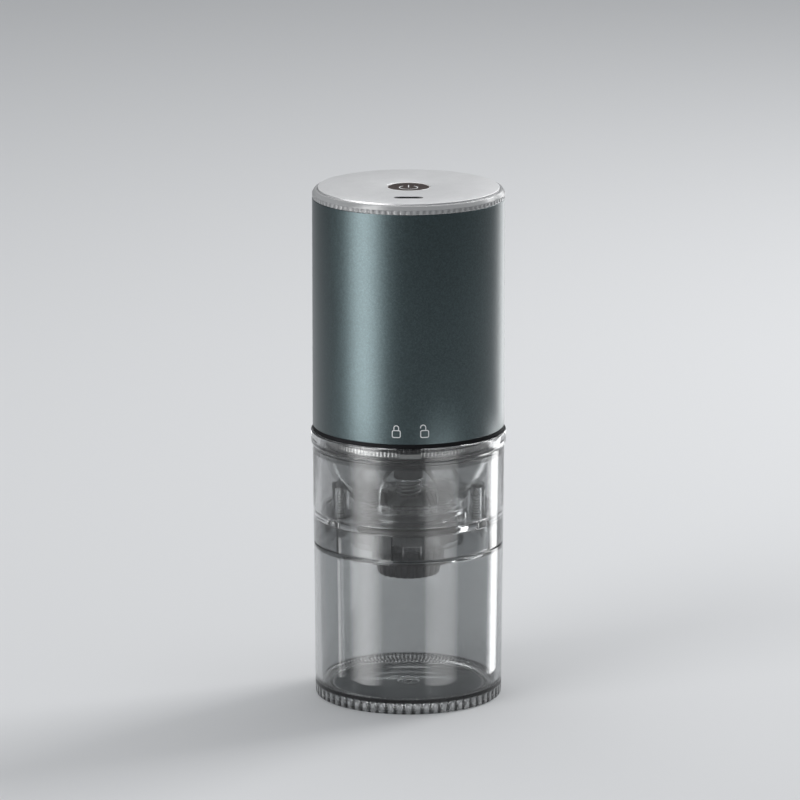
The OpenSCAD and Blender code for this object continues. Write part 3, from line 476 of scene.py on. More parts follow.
def cup_shape(r, z, turn):
    """Square-shouldered ribs round the foot, and fine radial flutes where the floor meets the wall inside."""
    if r > 33 and 0.2 < z < FOOT_BAND - 0.05:
        r -= RIB_DEPTH * min(1, max(0, ripple(turn, FOOT_RIBS) * 2.2 - 0.9))
    flute = FLUTE_DEPTH * ripple(turn, FLUTES)
    if FLUTE_RING[0] < r < FLUTE_RING[1] and CUP_FLOOR - 0.01 < z < CUP_FLOOR + CUP_FILLET:
        z += flute
    if 30.6 < r < CUP_R_BASE - CUP_WALL - 0.01 and CUP_FLOOR < z < CUP_FLOOR + CUP_FILLET:
        r -= flute
    return r, z


inner_top_r = cup_r_top - CUP_WALL
inner_base_r = CUP_R_BASE - CUP_WALL
cup_outline = filleted([
    (0, 0.8, 0), (FOOT_RING_R - 0.5, 0.8, 0.4), (FOOT_RING_R, 0, 0.4), (CUP_R_BASE - 0.1, 0, 0.7),
    (CUP_R_BASE - 0.02, FOOT_BAND - 0.9, 0), (CUP_R_BASE, FOOT_BAND, 0.2),
    (CUP_R_BASE + 0.01, FOOT_BAND + 0.4, 0), (CUP_R_BASE + 0.02, FOOT_BAND + 1, 0),
    (cup_r_top, shoulder_z, 0.5), (NECK_R, shoulder_z, 0.25), (NECK_R, neck_top, 0.5),
    (NECK_R - NECK_WALL, neck_top, 0.5),
    (NECK_R - NECK_WALL, shoulder_z - SHOULDER, 0.4), (inner_top_r, shoulder_z - SHOULDER, 0.5),
    (inner_base_r, CUP_FLOOR + 3, 0), (inner_base_r, CUP_FLOOR, CUP_FILLET)]
    + [(r, CUP_FLOOR, 0) for r in FLUTE_ROWS]
    + [(GATE_R + 0.8, CUP_FLOOR, 0), (GATE_R + 0.4, CUP_FLOOR, 0.2), (GATE_R, CUP_FLOOR - 0.4, 0.2),
       (1.5, CUP_FLOOR - 0.4, 0.2), (1.2, CUP_FLOOR, 0.2), (0, CUP_FLOOR + 0.15, 0)])
cup = lathe("grounds_cup_clear", cup_outline, 768, cup_shape)
tracks = []
for a in THIRDS:
    for (start, end), low, steps in ((BLOCK_ENDS, shoulder_z - 0.3, 24), (LEDGE_ENDS, LEDGE_Z, 20)):
        tracks.append(sector("track", NECK_R - 0.3, TRACK_R, a + start, a + end, low, neck_top - 0.2, steps))
combine(cup, tracks, "UNION")
# Black is mixed into the cup as painted shade, and white as painted glints round its floor.
cup_plastic = clear_plastic("cup_plastic", SMOKE, painted_shade=cup_painted_shade, facets=cup_facets, frost=cup_painted_glints)
dress(cup, cup_plastic, "cup", ["grounds_cup"])


# ---- Hopper wall ---------------------------------------------------------------------------------
# The hopper's outer wall is a second clear moulding: a collar for the motor unit, a tall wall, a floor with
# the burr well, and a skirt with three lugs that lock under the cup's tracks.

HOPPER_SMOKE = (0.585, 0.592, 0.595)
HOPPER_R_BASE = 34.75
HOPPER_R_TOP = 35.1
HOPPER_WALL = 2.2
COLLAR_H = 4.5
SKIRT_H = 9.1
HOPPER_FLOOR = 2.4
RING_LOW, RING_HIGH = in_mm("ring_burr")
WELL_R = RING_HIGH.x + 0.2
WELL_WALL = 1.7
BOSS_RING = 28
BOSS_ANGLES = (60, 180, 300)


def post(name, radius, low, high, angle, ring, steps=48, top_radius=None):
    """A round post that stands at an angle from the front, at a distance from the axis."""
    made = lathe(name, [(0, low), (radius, low), (top_radius or radius, high), (0, high)], steps)
    made.data.transform(Matrix.Translation(around(ring, math.radians(angle)) * MM))
    return made


collar_r = hopper_high.x
rim_z = hopper_high.z
collar_z = rim_z - COLLAR_H
floor_z = hopper_low.z + SKIRT_H
floor_top = floor_z + HOPPER_FLOOR
well_top = floor_top + 1.9
seat_z = collar_z - 2
skirt_r = HOPPER_R_BASE - HOPPER_WALL
collar_in = HOPPER_R_TOP - HOPPER_WALL + 0.6
hopper = lathe("hopper_wall_clear", filleted([
    (skirt_r, hopper_low.z, 0.3), (HOPPER_R_BASE, hopper_low.z, 0.4), (HOPPER_R_TOP, collar_z - 0.9, 0.6),
    (collar_r, collar_z, 0.6), (collar_r, rim_z, 0.5), (collar_in, rim_z, 0.4), (collar_in, seat_z, 0.2),
    (HOPPER_R_TOP - HOPPER_WALL, seat_z, 0.3), (skirt_r + 0.08, floor_top, 0.8),
    (WELL_R + WELL_WALL, floor_top, 0.3), (WELL_R + WELL_WALL, well_top, 0.3), (WELL_R, well_top, 0.2),
    (WELL_R, RING_LOW.z, 0), (RING_HIGH.x - 2, RING_LOW.z, 0.2), (RING_HIGH.x - 2, RING_LOW.z - 1.8, 0.3),
    (WELL_R + WELL_WALL, RING_LOW.z - 1.8, 0.5), (WELL_R + WELL_WALL, floor_z, 0.6),
    (skirt_r + 0.05, floor_z, 0.5)]), 256)
LUG_ENDS = (-3.4, 8)
LUG_Z = hopper_low.z + 1.8
LUG_H = 3
LUG_FACE_R = 31.6
COLLAR_LUG_R = 31.85
COLLAR_LUG_HALF = 7.5
SEAT_BAND = (91.1, 94.7)
SEAT_RADII = (32.4, 33.9)


def lug_edges(tree):
    """The front lug's two ends and its upper edge."""
    r, z, turn = tree.polar()
    sides = (turn.near(LUG_ENDS[0], 0.4) + turn.near(LUG_ENDS[1], 0.3)) * z.near(LUG_Z + LUG_H / 2, LUG_H / 2)
    upper = z.near(LUG_Z + LUG_H, 0.25) * turn.near(sum(LUG_ENDS) / 2, 5.5)
    return (sides + upper).clamp() * r.near(LUG_FACE_R, 0.9)


def seat_shade(tree):
    """Painted shade, black mixed in at half strength, on the stepped seat inside the collar, where the wall
    is thick and the bowl's flange rests.
    """
    r, z = tree.polar()[:2]
    return z.within(*SEAT_BAND, 0.3) * r.within(*SEAT_RADII) * 0.5


lugs = []
for a in THIRDS:
    lugs.append(sector("lug", NECK_R + 0.35, skirt_r + 0.6, a + LUG_ENDS[0], a + LUG_ENDS[1],
                       LUG_Z, LUG_Z + LUG_H))
    lugs.append(sector("lug", COLLAR_LUG_R, collar_in + 0.6, a - COLLAR_LUG_HALF, a + COLLAR_LUG_HALF,
                       rim_z - 1.95, rim_z - 0.35))
combine(hopper, lugs, "UNION")
holes = []
for a in BOSS_ANGLES:
    holes.append(post("hole", 2.5, floor_z - 2, floor_z + 1.6, a, BOSS_RING))
    holes.append(post("hole", 1.4, floor_z - 2, floor_top + 2, a, BOSS_RING))
combine(hopper, holes, "DIFFERENCE")
# The collar's stepped seat gets painted shade.
dress(hopper, clear_plastic("hopper_plastic", HOPPER_SMOKE, painted_shade=seat_shade, facets=lug_edges), "hopper",
      ["hopper_wall"])


# ---- Bean bowl -----------------------------------------------------------------------------------
# The inner bowl hangs in the hopper from its flange. It is a thin clear moulding that narrows to a tube
# round the burr well, with three bosses outside for the carrier screws.

BOWL_CLEAR = (0.76, 0.77, 0.77)
BOWL_R = 30.9
BOWL_DEPTH = 24
BOWL_WALL = 1.6
BOWL_FLANGE = 1.6
TUBE_R = WELL_R + WELL_WALL + 0.5
BOSS_R = 3.0
BOSS_H = 12.7
BOSS_FOOT_R = 4.3
BOSS_FOOT_H = 2.2


def ellipse(a, b, centre_z, start, end, steps=18):
    """Points (r, z, 0) on an ellipse round (0, centre_z), from one angle in radians to another."""
    angles = [start + (end - start) * i / steps for i in range(steps + 1)]
    return [(a * math.cos(t), centre_z + b * math.sin(t), 0) for t in angles]


bowl_z = collar_z - 3.5
inner_r = BOWL_R - BOWL_WALL
flange_r = HOPPER_R_TOP - HOPPER_WALL + 0.4
inside = ellipse(inner_r, BOWL_DEPTH - BOWL_WALL, bowl_z, -math.acos(TUBE_R / inner_r), 0)
outside = ellipse(BOWL_R, BOWL_DEPTH, bowl_z, -math.acos((TUBE_R + BOWL_WALL) / BOWL_R), 0)
bowl = lathe("bean_bowl_clear", filleted(
    [(TUBE_R, floor_top + 0.02, 0.2), (TUBE_R + BOWL_WALL, floor_top + 0.02, 0.2)] + outside
    + [(BOWL_R, seat_z + 0.02, 0.5), (flange_r, seat_z + 0.02, 0.2), (flange_r, seat_z + BOWL_FLANGE, 0.4),
       (inner_r, seat_z + BOWL_FLANGE, 0.6)] + inside[::-1]), 192)
bosses = [post("boss", BOSS_R, floor_top + 0.02, floor_top + BOSS_H, a, BOSS_RING) for a in BOSS_ANGLES]
bosses += [post("boss_foot", BOSS_FOOT_R, floor_top + 0.02, floor_top + BOSS_FOOT_H, a, BOSS_RING, 48,
                BOSS_FOOT_R - 0.4) for a in BOSS_ANGLES]
combine(bowl, bosses, "UNION")
hollow = lathe("hollow", [(0, floor_top + 4)] + [(r - 0.02, z) for r, z, _ in inside]
               + [(inner_r - 0.02, seat_z + 6), (0, seat_z + 6)], 192)
bores = [post("bore", 1.3, floor_top - 2, floor_top + BOSS_H - 1.5, a, BOSS_RING, 32) for a in BOSS_ANGLES]
combine(bowl, [hollow] + bores, "DIFFERENCE")
dress(bowl, clear_plastic("bowl_plastic", BOWL_CLEAR), "hopper", ["bean_bowl"])


# ---- Carrier screws ------------------------------------------------------------------------------
# Three zinc plated screws hold the bowl down to the hopper's floor. Their threads show through the clear
# bosses, and their pan heads sit in pockets under the floor.

SCREW_R = 1.25
SCREW_HEAD_R = 2.3
SCREW_HEAD_H = 1.5
THREAD_PITCH = 1.0


def metal(name, colour, rough, grain=6000, metallic=1.0):
    """Bare metal with a fine grain in its gloss and a trace of tarnish in its colour."""
    material, tree = new_material(name)
    grains = tree.noise(grain, 3.0)
    stains = tree.noise(140, 2.0)
    return surface(material, tree.add("BsdfPrincipled", {
        "Base Color": tree.blend(stains * 0.6 + grains * 0.4, colour, [c * 0.82 for c in colour]),
        "Roughness": rough + (grains - 0.5) * 0.18,
        "Normal": tree.bump(grains, 0.25, 0.00004),
        "Metallic": metallic}))


STEEL = metal("bright_steel", (0.72, 0.72, 0.73), 0.22)
PLATED = metal("zinc_plated_screw", (0.95, 0.95, 0.94), 0.42, metallic=0.5)


def thread_steps(low, high, pitch, core, crest):
    """Outline points (r, z, 0) of a thread, from its lower end up."""
    points = []
    for i in range(int((high - low) / pitch)):
        z = low + i * pitch
        points += [(core, z, 0), (core, z + 0.2 * pitch, 0), (crest, z + 0.45 * pitch, 0),
                   (crest, z + 0.75 * pitch, 0)]
    return points


screw_low, screw_high = in_mm("carrier_screws")
screw_outline = filleted(
    [(0, screw_low.z + 0.4, 0), (0.9, screw_low.z + 0.4, 0.1), (1.0, screw_low.z, 0.1),
     (SCREW_HEAD_R, screw_low.z, 0.5), (SCREW_HEAD_R, screw_low.z + SCREW_HEAD_H, 0.1),
     (SCREW_R - 0.3, screw_low.z + SCREW_HEAD_H, 0)]
    + thread_steps(screw_low.z + SCREW_HEAD_H, screw_high.z - 1, THREAD_PITCH, SCREW_R - 0.4, SCREW_R)
    + [(SCREW_R - 0.5, screw_high.z - 0.8, 0), (0.3, screw_high.z, 0.1), (0, screw_high.z, 0)])
for number, a in enumerate(BOSS_ANGLES, 1):
    screw = lathe("carrier_screw_%d" % number, screw_outline, 36)
    screw.data.transform(Matrix.Translation(around(BOSS_RING, math.radians(a)) * MM))
    dress(screw, PLATED, "hopper", ["carrier_screws"], 45)


# ---- Burr set ------------------------------------------------------------------------------------
# Both burrs are pressed and fired from white ceramic. The ring burr drops into the well, and the toothed
# cone turns inside it. The fired skin is matt, with tiny pits.


def ceramic(name, colour):
    """Fired clay, matt and finely pitted."""
    material, tree = new_material(name)
    pits = tree.noise(2200, 4.0)
    clouds = tree.noise(120, 2.0)
    return surface(material, tree.add("BsdfPrincipled", {
        "Base Color": tree.blend(clouds, colour, [c * 0.93 for c in colour]),
        "Roughness": 0.42 + pits * 0.2,
        "Normal": tree.bump(pits, 0.3, 0.00008),
        "IOR": 1.6}))


CERAMIC = ceramic("burr_ceramic", (0.80, 0.80, 0.785))


def dress_node(node, material):
    """A CAD node that shows as it is, with a finished material."""
    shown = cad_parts[node]
    shown.data.materials.clear()
    shown.data.materials.append(material)


dress_node("ring_burr", CERAMIC)
dress_node("inner_burr", CERAMIC)


# ---- Bearing bridge ------------------------------------------------------------------------------
# A clear dome stands over the burrs on its foot ring and holds the spindle's bearing in its crown. Beans
# fall to the burrs through three arched windows.

BRIDGE_LOW, BRIDGE_HIGH = in_mm("bearing_bridge")
BRIDGE_RISE = 16.6
BRIDGE_WALL = 1.6
BRIDGE_FOOT = 1.6
CROWN = 4
WINDOW_HALF = 10
WINDOW_RISE = 3.2
WINDOW_EDGE = 0.4
HUB_R = 5.4

bridge_r = BRIDGE_HIGH.x
dome_z = BRIDGE_LOW.z + BRIDGE_FOOT + 1.8
bore_r = HUB_R + 0.05
dome_in = bridge_r - BRIDGE_WALL
foot_in = RING_HIGH.x - 1.4
crown_z = BRIDGE_HIGH.z
over = ellipse(bridge_r, BRIDGE_RISE, dome_z, 0, math.acos((HUB_R + 2) / bridge_r))
under = ellipse(dome_in, BRIDGE_RISE - BRIDGE_WALL, dome_z, 0, math.acos((HUB_R + 2) / dome_in))
bridge = lathe("bearing_bridge_clear", filleted(
    [(foot_in, BRIDGE_LOW.z, 0.2), (bridge_r, BRIDGE_LOW.z, 0.3)] + over
    + [(HUB_R + 1.6, crown_z, 0.2), (bore_r, crown_z, 0.1), (bore_r, crown_z - CROWN, 0.1),
       (HUB_R + 1.6, crown_z - CROWN, 0.3)] + under[::-1]
    + [(dome_in, BRIDGE_LOW.z + BRIDGE_FOOT, 0.4), (foot_in, BRIDGE_LOW.z + BRIDGE_FOOT, 0.2)]), 192)


def arch(name, half, straight, depth, near, base, angle):
    """A window cutter: a box with a round top that runs outwards at an angle from the front."""
    bm = bmesh.new()
    profile = [(-half, base), (half, base)]
    profile += [(half * math.cos(t), base + straight + half * math.sin(t))
                for t in [math.pi * i / 24 for i in range(25)]]
    a = math.radians(angle)
    loops = []
    for y in (near, near + depth):
        loops.append([bm.verts.new((x * math.cos(a) + y * math.sin(a), x * math.sin(a) - y * math.cos(a), z))
                      for x, z in profile])
    for k in range(len(profile)):
        m = (k + 1) % len(profile)
        bm.faces.new((loops[0][k], loops[0][m], loops[1][m], loops[1][k]))
    bm.faces.new(loops[0])
    bm.faces.new(loops[1])
    return finished(name, bm)


def polished_edges(tree):
    """The rounded edges of the windows, and the tube that holds the bearing."""
    r, z, turn = tree.polar()
    aside = (tree.maths("FLOORED_MODULO", turn + 60, 120) - 60) * math.radians(1)
    across = r * tree.maths("SINE", aside)
    rise = tree.maths("MAXIMUM", z - (dome_z + WINDOW_RISE), 0)
    window = (across * across + rise * rise) ** 0.5
    tube = r.within(HUB_R - 0.2, HUB_R + 1.8) * z.within(crown_z - CROWN - 0.5, crown_z - 0.4) * 0.5
    return (window.near(WINDOW_HALF, 0.45) * 0.85 + tube).clamp()


windows = [arch("window", WINDOW_HALF, WINDOW_RISE, bridge_r, HUB_R + 3, dome_z, a) for a in THIRDS]
combine(bridge, windows, "DIFFERENCE")
edge = bridge.modifiers.new("rounded_edges", "BEVEL")
edge.width = WINDOW_EDGE * MM
edge.segments = 2
edge.limit_method = "ANGLE"
edge.angle_limit = math.radians(50)
combine(bridge, [], "UNION")  # settles the rounded edges
dress(bridge, clear_plastic("bridge_plastic", BOWL_CLEAR, facets=polished_edges), "hopper",
      ["bearing_bridge"])


# ---- Dark plastic pieces -------------------------------------------------------------------------
# The bearing hub, the drive head and its coupler, the base cover and the motor's end cap are moulded from
# black plastic with a fine spark texture.


def moulded(name, colour, rough, scale=3500, depth=0.00005, coat=0.0, gloss=0.5, black=None, pearl=0.0):
    """Moulded plastic. black is a function of the tree that gives a mask of where it is dyed black."""
    material, tree = new_material(name)
    spark = tree.noise(scale, 2.5)
    sheen = tree.noise(80, 2.0)
    tone = tree.blend(sheen, colour, [min(1, c * 1.25) for c in colour])
    if black:
        tone = tree.blend(black(tree), tone, (0.01, 0.01, 0.011))
    return surface(material, tree.add("BsdfPrincipled", {
        "Base Color": tone,
        "Roughness": rough + (sheen - 0.5) * 0.12,
        "Normal": tree.bump(spark, 0.35, depth),
        "Metallic": pearl,
        "Coat Weight": coat, "IOR": 1.5, "Specular IOR Level": gloss}))


BLACK = moulded("black_moulding", (0.010, 0.010, 0.011), 0.5)
for black_piece in ("bearing_hub", "drive_head", "drive_coupler", "motor_endcap", "tact_switch"):
    dress_node(black_piece, BLACK)
dress_node("base_cover", moulded("matt_black", (0.006, 0.006, 0.007), 0.7, gloss=0.12))


# ---- Spindle, clip, washers, nut and spring ------------------------------------------------------
# The spindle is ground steel. Its clip and washers are stamped, the knob's nut is brass, and a plated wire
# spring presses the inner burr down on to the grind knob.

for steel_piece in ("spindle_shaft", "thrust_washer", "retaining_clip", "burr_washer"):
    dress_node(steel_piece, STEEL)
BRASS = metal("turned_brass", (0.72, 0.53, 0.25), 0.28)
dress_node("knob_nut", BRASS)

SPRING_LOW, SPRING_HIGH = in_mm("burr_spring")
SPRING_COILS = 4
WIRE_R = 0.45


def coil(name, radius, wire, turns, low, high, steps=24, sides=8):
    """A round wire wound from one height up to another."""
    bm = bmesh.new()
    rings = []
    for i in range(turns * steps + 1):
        a, z = 2 * math.pi * i / steps, low + (high - low) * i / (turns * steps)
        rings.append([])
        for j in range(sides):
            b = 2 * math.pi * j / sides
            r = radius + wire * math.cos(b)
            rings[-1].append(bm.verts.new((r * math.cos(a), r * math.sin(a), z + wire * math.sin(b))))
    for below, above in zip(rings, rings[1:]):
        for j in range(sides):
            k = (j + 1) % sides
            bm.faces.new((below[j], above[j], above[k], below[k]))
    bm.faces.new(rings[0])
    bm.faces.new(rings[-1])
    return finished(name, bm)


spring = coil("burr_spring_wire", SPRING_HIGH.x - WIRE_R, WIRE_R, SPRING_COILS,
              SPRING_LOW.z + WIRE_R, SPRING_HIGH.z - WIRE_R)
smooth(spring, PLATED, 50)
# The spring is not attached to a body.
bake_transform(spring)
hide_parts("burr_spring")


# ---- Grind knob ----------------------------------------------------------------------------------
# The knob under the burrs is black plastic with rounded grip ribs. Turning it on the spindle's thread
# raises or lowers the inner burr.

KNOB_RIBS = 24
KNOB_LOW, KNOB_HIGH = in_mm("adjust_knob")
KNOB_R_BOTTOM = 11.2
GRIP_R = 9.5
GROOVE_DEPTH = 0.85
KNOB_HOLE_R = 3.0
KNOB_THROAT_R = 4.0
POCKET_R = 5.2
POCKET_LOW = KNOB_LOW.z + 4
POCKET_HIGH = KNOB_LOW.z + 9


def knob_shape(r, z, turn):
    """Grip ribs with sharp grooves between them, all over the knob's outside."""
    wave = abs(math.sin(turn * KNOB_RIBS / 2))
    if r > GRIP_R:
        r -= GROOVE_DEPTH * (1 - wave) ** 1.2
    return r, z


knob_r = KNOB_HIGH.x
knob = lathe("adjust_knob_ribbed", filleted([
    (KNOB_HOLE_R, KNOB_LOW.z, 0.2), (KNOB_R_BOTTOM, KNOB_LOW.z, 0.9), (knob_r, KNOB_HIGH.z, 0.8),
    (KNOB_THROAT_R, KNOB_HIGH.z, 0.2), (KNOB_THROAT_R, POCKET_HIGH, 0.1), (POCKET_R, POCKET_HIGH, 0.1),
    (POCKET_R, POCKET_LOW, 0.1), (KNOB_HOLE_R, POCKET_LOW, 0.1)]), 288, knob_shape)
dress(knob, BLACK, "knob", ["adjust_knob"], 40)


# ---- Bayonet ring and seal -----------------------------------------------------------------------
# A ring under the motor unit carries three lugs that lock under the collar's ledges. Fine upright ribs
# run round its face, which is black over a light grey band. A translucent seal lies on its lower lip.

BAYONET_LOW, BAYONET_HIGH = in_mm("bayonet_ring")
BAYONET_R = collar_in - 2
BAYONET_WALL = 1.6
BAYONET_FLANGE = 1.8
BAYONET_RIBS = 144
BAYONET_RIB_DEPTH = 0.22
BAYONET_LUG_ENDS = (-5.5, 7.5)
FLANGE_BORE_R = 23.5
FRAME_SCREW_RING = 26.5
LIGHT_BAND = 1.75


def bayonet_shape(r, z, turn):
    """Fine ribs on the ring's outer face."""
    if r > BAYONET_R - 0.3 and BAYONET_LOW.z + 0.25 < z < BAYONET_HIGH.z - 0.6:
        r -= BAYONET_RIB_DEPTH * ripple(turn, BAYONET_RIBS)
    return r, z


bayonet_in = BAYONET_R - BAYONET_WALL
bayonet_top = BAYONET_HIGH.z
bayonet = lathe("bayonet_ring_ribbed", filleted([
    (bayonet_in, BAYONET_LOW.z, 0.2), (BAYONET_R, BAYONET_LOW.z, 0.2), (BAYONET_R, BAYONET_LOW.z + 0.6, 0),
    (BAYONET_R, bayonet_top - 0.9, 0), (BAYONET_R, bayonet_top - 0.5, 0), (BAYONET_R, bayonet_top, 0.1),
    (FLANGE_BORE_R, bayonet_top, 0.1), (FLANGE_BORE_R, bayonet_top - BAYONET_FLANGE, 0.2),
    (bayonet_in, bayonet_top - BAYONET_FLANGE, 0.3)]), 1152, bayonet_shape)
bayonet_lugs = [sector("lug", BAYONET_R - 0.6, collar_in - 0.35, a + BAYONET_LUG_ENDS[0],
                       a + BAYONET_LUG_ENDS[1], BAYONET_LOW.z + 0.2, BAYONET_LOW.z + 1.8) for a in THIRDS]
combine(bayonet, bayonet_lugs, "UNION")
combine(bayonet, [post("hole", 1.4, bayonet_top - 3, bayonet_top + 1, a, FRAME_SCREW_RING, 32)
                  for a in BOSS_ANGLES], "DIFFERENCE")


def above_band(tree):
    """All of the ring over its light lower band."""
    z = tree.polar()[1]
    return ((z - (BAYONET_LOW.z + LIGHT_BAND)) / 0.1 + 0.5).clamp()


RING_GREY = moulded("ring_grey", (0.80, 0.795, 0.78), 0.28, 3000, 0.00003, 0.8, black=above_band,
                    pearl=0.45)
dress(bayonet, RING_GREY, "motor_unit", ["bayonet_ring"])


def frosted(name, tint, rough, clear, painted_shade=None):
    """Part clear, part milky plastic with a satin skin. The last argument gives a mask of grooves darkened as
    painted shade.
    """
    material, tree = new_material(name)
    frost = tree.noise(4200, 3.0)
    colour = tree.blend(frost, tint, [c * 0.9 for c in tint])
    # Painted shade: the colour is darkened where the mask says.
    if painted_shade:
        colour = tree.blend(painted_shade(tree), colour, [c * 0.72 for c in tint])
    body = tree.add("BsdfPrincipled", {
        "Base Color": colour,
        "Roughness": rough + frost * 0.12,
        "Normal": tree.bump(frost, 0.2, 0.00003),
        "IOR": 1.49, "Transmission Weight": clear})
    through = tree.add("BsdfTransparent", {"Color": (*tint, 1)})
    shadow = tree.add("LightPath", out="Is Shadow Ray") * clear
    return surface(material, tree.add("MixShader", {0: shadow, 1: body, 2: through}))


dress_node("hopper_seal", frosted("silicone", (0.80, 0.81, 0.81), 0.4, 0.7))


# ---- Body shell ----------------------------------------------------------------------------------
# The motor unit's shell is a drawn aluminium tube with a satin teal metallic coat, open at both ends, with
# its rims turned in a little.

SHELL_LOW, SHELL_HIGH = in_mm("body_shell")
SHELL_WALL = 1.2
TEAL = (0.026, 0.045, 0.049)


def metallic_paint(name, colour):
    """Satin paint with metal flakes under a thin clear coat, and a faint orange peel."""
    material, tree = new_material(name)
    flakes = tree.noise(4200, 2.0)
    mottle = tree.noise(1300, 2.0)
    clouds = tree.noise(45, 3.0, (1, 1, 0.5))
    spark = (flakes - 0.5) * 1.5 + (mottle - 0.5) * 1.1 + (clouds - 0.5) * 0.5
    lighter = [c * 1.9 + 0.015 for c in colour]
    return surface(material, tree.add("BsdfPrincipled", {
        "Base Color": tree.blend(spark + 0.25, colour, lighter),
        "Metallic": 0.82,
        "Roughness": 0.42 + (flakes - 0.5) * 0.2 + (mottle - 0.5) * 0.15,
        "Normal": tree.bump(flakes + mottle, 0.4, 0.00004),
        "Specular IOR Level": 0.3,
        "Coat Weight": 0.8, "Coat Roughness": 0.42}))


shell_r = SHELL_HIGH.x
shell = lathe("body_shell_painted", filleted([
    (shell_r - SHELL_WALL, SHELL_LOW.z, 0.2), (shell_r, SHELL_LOW.z, 0.45), (shell_r, SHELL_HIGH.z, 0.3),
    (shell_r - SHELL_WALL, SHELL_HIGH.z, 0.2)]), 256)
dress(shell, metallic_paint("teal_paint", TEAL), "motor_unit", ["body_shell"])


# ---- Lock signs ----------------------------------------------------------------------------------
# Two small signs are pad printed in white near the shell's lower edge: a closed padlock for locked and
# an open one for unlocked. They show which way the motor unit turns.

SIGN_BASE = SHELL_LOW.z + 2.6
LOCKED_AT = -7.3
UNLOCKED_AT = 9.5
STROKE = 0.36
INK_LIFT = 0.02


def ribbon(points, width, closed):
    """The two edges of a line of the given width through points."""
    edges = []
    count = len(points)
    for i, here in enumerate(points):
        here = Vector(here)
        back = Vector(points[i - 1]) if closed or i else here
        on = Vector(points[(i + 1) % count]) if closed or i < count - 1 else here
        along = (on - back).normalized()
        side = Vector((-along.y, along.x)) * width / 2
        edges.append((here + side, here - side))
    return edges


def printed(name, lines, place, thick, material, body):
    """Ink lines laid on a surface: place(u, v, lift) puts a flat point on it."""
    bm = bmesh.new()
    for points, closed in lines:
        edges = ribbon(points, STROKE, closed)
        loops = [[bm.verts.new(place(p.x, p.y, lift)) for lift in (0, thick) for p in pair] for pair in edges]
        for one, two in zip(loops, loops[1:] + loops[:1] if closed else loops[1:]):
            for k, m in ((0, 1), (1, 3), (3, 2), (2, 0)):
                bm.faces.new((one[k], one[m], two[m], two[k]))
        if not closed:
            bm.faces.new([loops[0][k] for k in (0, 1, 3, 2)])
            bm.faces.new([loops[-1][k] for k in (0, 1, 3, 2)])
    dress(finished(name, bm), material, body)


def arc(centre_x, centre_y, radius, start, end, steps=12):
    """Points on an arc, angles in degrees."""
    angles = [math.radians(start + (end - start) * i / steps) for i in range(steps + 1)]
    return [(centre_x + radius * math.cos(a), centre_y + radius * math.sin(a)) for a in angles]


def padlock(swung):
    """A padlock's outline: a rounded body, and a shackle that is closed or swung open to the left."""
    half, low, high, corner = 1.45, 0.2, 2.75, 0.55
    side = half - corner
    body = (arc(side, low + corner, corner, -90, 0, 5) + arc(side, high - corner, corner, 0, 90, 5)
            + arc(-side, high - corner, corner, 90, 180, 5) + arc(-side, low + corner, corner, 180, 270, 5))
    middle, rise, radius = (-0.55, 1.1, 0.95) if swung else (0, 0.95, 0.85)
    bow = arc(middle, high + rise, radius, 0, 180 if not swung else 195, 12)
    left_leg = [] if swung else [(middle - radius, high)]
    return [(body, True), ([(middle + radius, high)] + bow + left_leg, False)]


def on_shell(centre):
    """Places a flat point on the shell's wall, round a turn in degrees."""
    def place(u, v, lift):
        return around(shell_r + INK_LIFT + lift, math.radians(centre) + u / shell_r, SIGN_BASE + v)
    return place


INK = moulded("white_ink", (0.72, 0.73, 0.73), 0.5, 4000, 0.00002)
printed("locked_sign", padlock(False), on_shell(LOCKED_AT), 0.02, INK, "motor_unit")
printed("unlocked_sign", padlock(True), on_shell(UNLOCKED_AT), 0.02, INK, "motor_unit")


# ---- Lid rim -------------------------------------------------------------------------------------
# The rim round the lid is frosted clear plastic with a rounded upper edge and fine serrations along its
# lower band. Its spigot plugs into the shell.

RIM_LOW, RIM_HIGH = in_mm("lid_rim")
PLATE_LOW, PLATE_HIGH = in_mm("lid_plate")
TRIM_LOW, TRIM_HIGH = in_mm("button_ring")
RIM_TEETH = 96
TOOTH_DEPTH = 0.32
LID_DISC = 1.6
SLOT_L, SLOT_W, SLOT_ROUND = 10.6, 3.5, 1.7
PORT_Y = 20.75

rim_r = RIM_HIGH.x
rim_top = RIM_HIGH.z
plug_r = shell_r - SHELL_WALL - 0.2
recess_r = PLATE_HIGH.x + 0.1
trim_in = TRIM_HIGH.x - 1.4
shell_top = SHELL_HIGH.z
plate_z = PLATE_LOW.z


def rim_shape(r, z, turn):
    """Serrations with flat crests along the rim's lower band."""
    if r > 34 and shell_top + 0.2 < z < shell_top + 1.45:
        r -= TOOTH_DEPTH * min(1, max(0, ripple(turn, RIM_TEETH) * 1.6 - 0.3))
    return r, z


def rim_grooves(tree):
    """The serrations' grooves, which lie in shade, darkened as painted shade."""
    z, turn = tree.polar()[1:]
    return (turn.ripple(RIM_TEETH) * 1.6 - 0.3).clamp() * z.near(shell_top + 0.8, 0.65)


rim = lathe("lid_rim_frosted", filleted([
    (plug_r - 1.7, RIM_LOW.z, 0.2), (plug_r, RIM_LOW.z, 0.3), (plug_r, shell_top + 0.03, 0),
    (rim_r - 0.1, shell_top + 0.03, 0.1), (rim_r, shell_top + 0.3, 0), (rim_r, shell_top + 1.35, 0),
    (rim_r, shell_top + 1.5, 0), (rim_r, shell_top + 1.6, 0), (rim_r - 0.05, shell_top + 1.75, 0.1),
    (rim_r - 0.9, rim_top - 0.1, 0.7), (recess_r + 0.1, rim_top, 0.2), (recess_r, rim_top - 0.15, 0.05),
    (recess_r, plate_z, 0.1), (trim_in, plate_z, 0.1), (trim_in, plate_z - LID_DISC, 0.1),
    (plug_r - 1.7, plate_z - LID_DISC, 0.4)]), 1152, rim_shape)


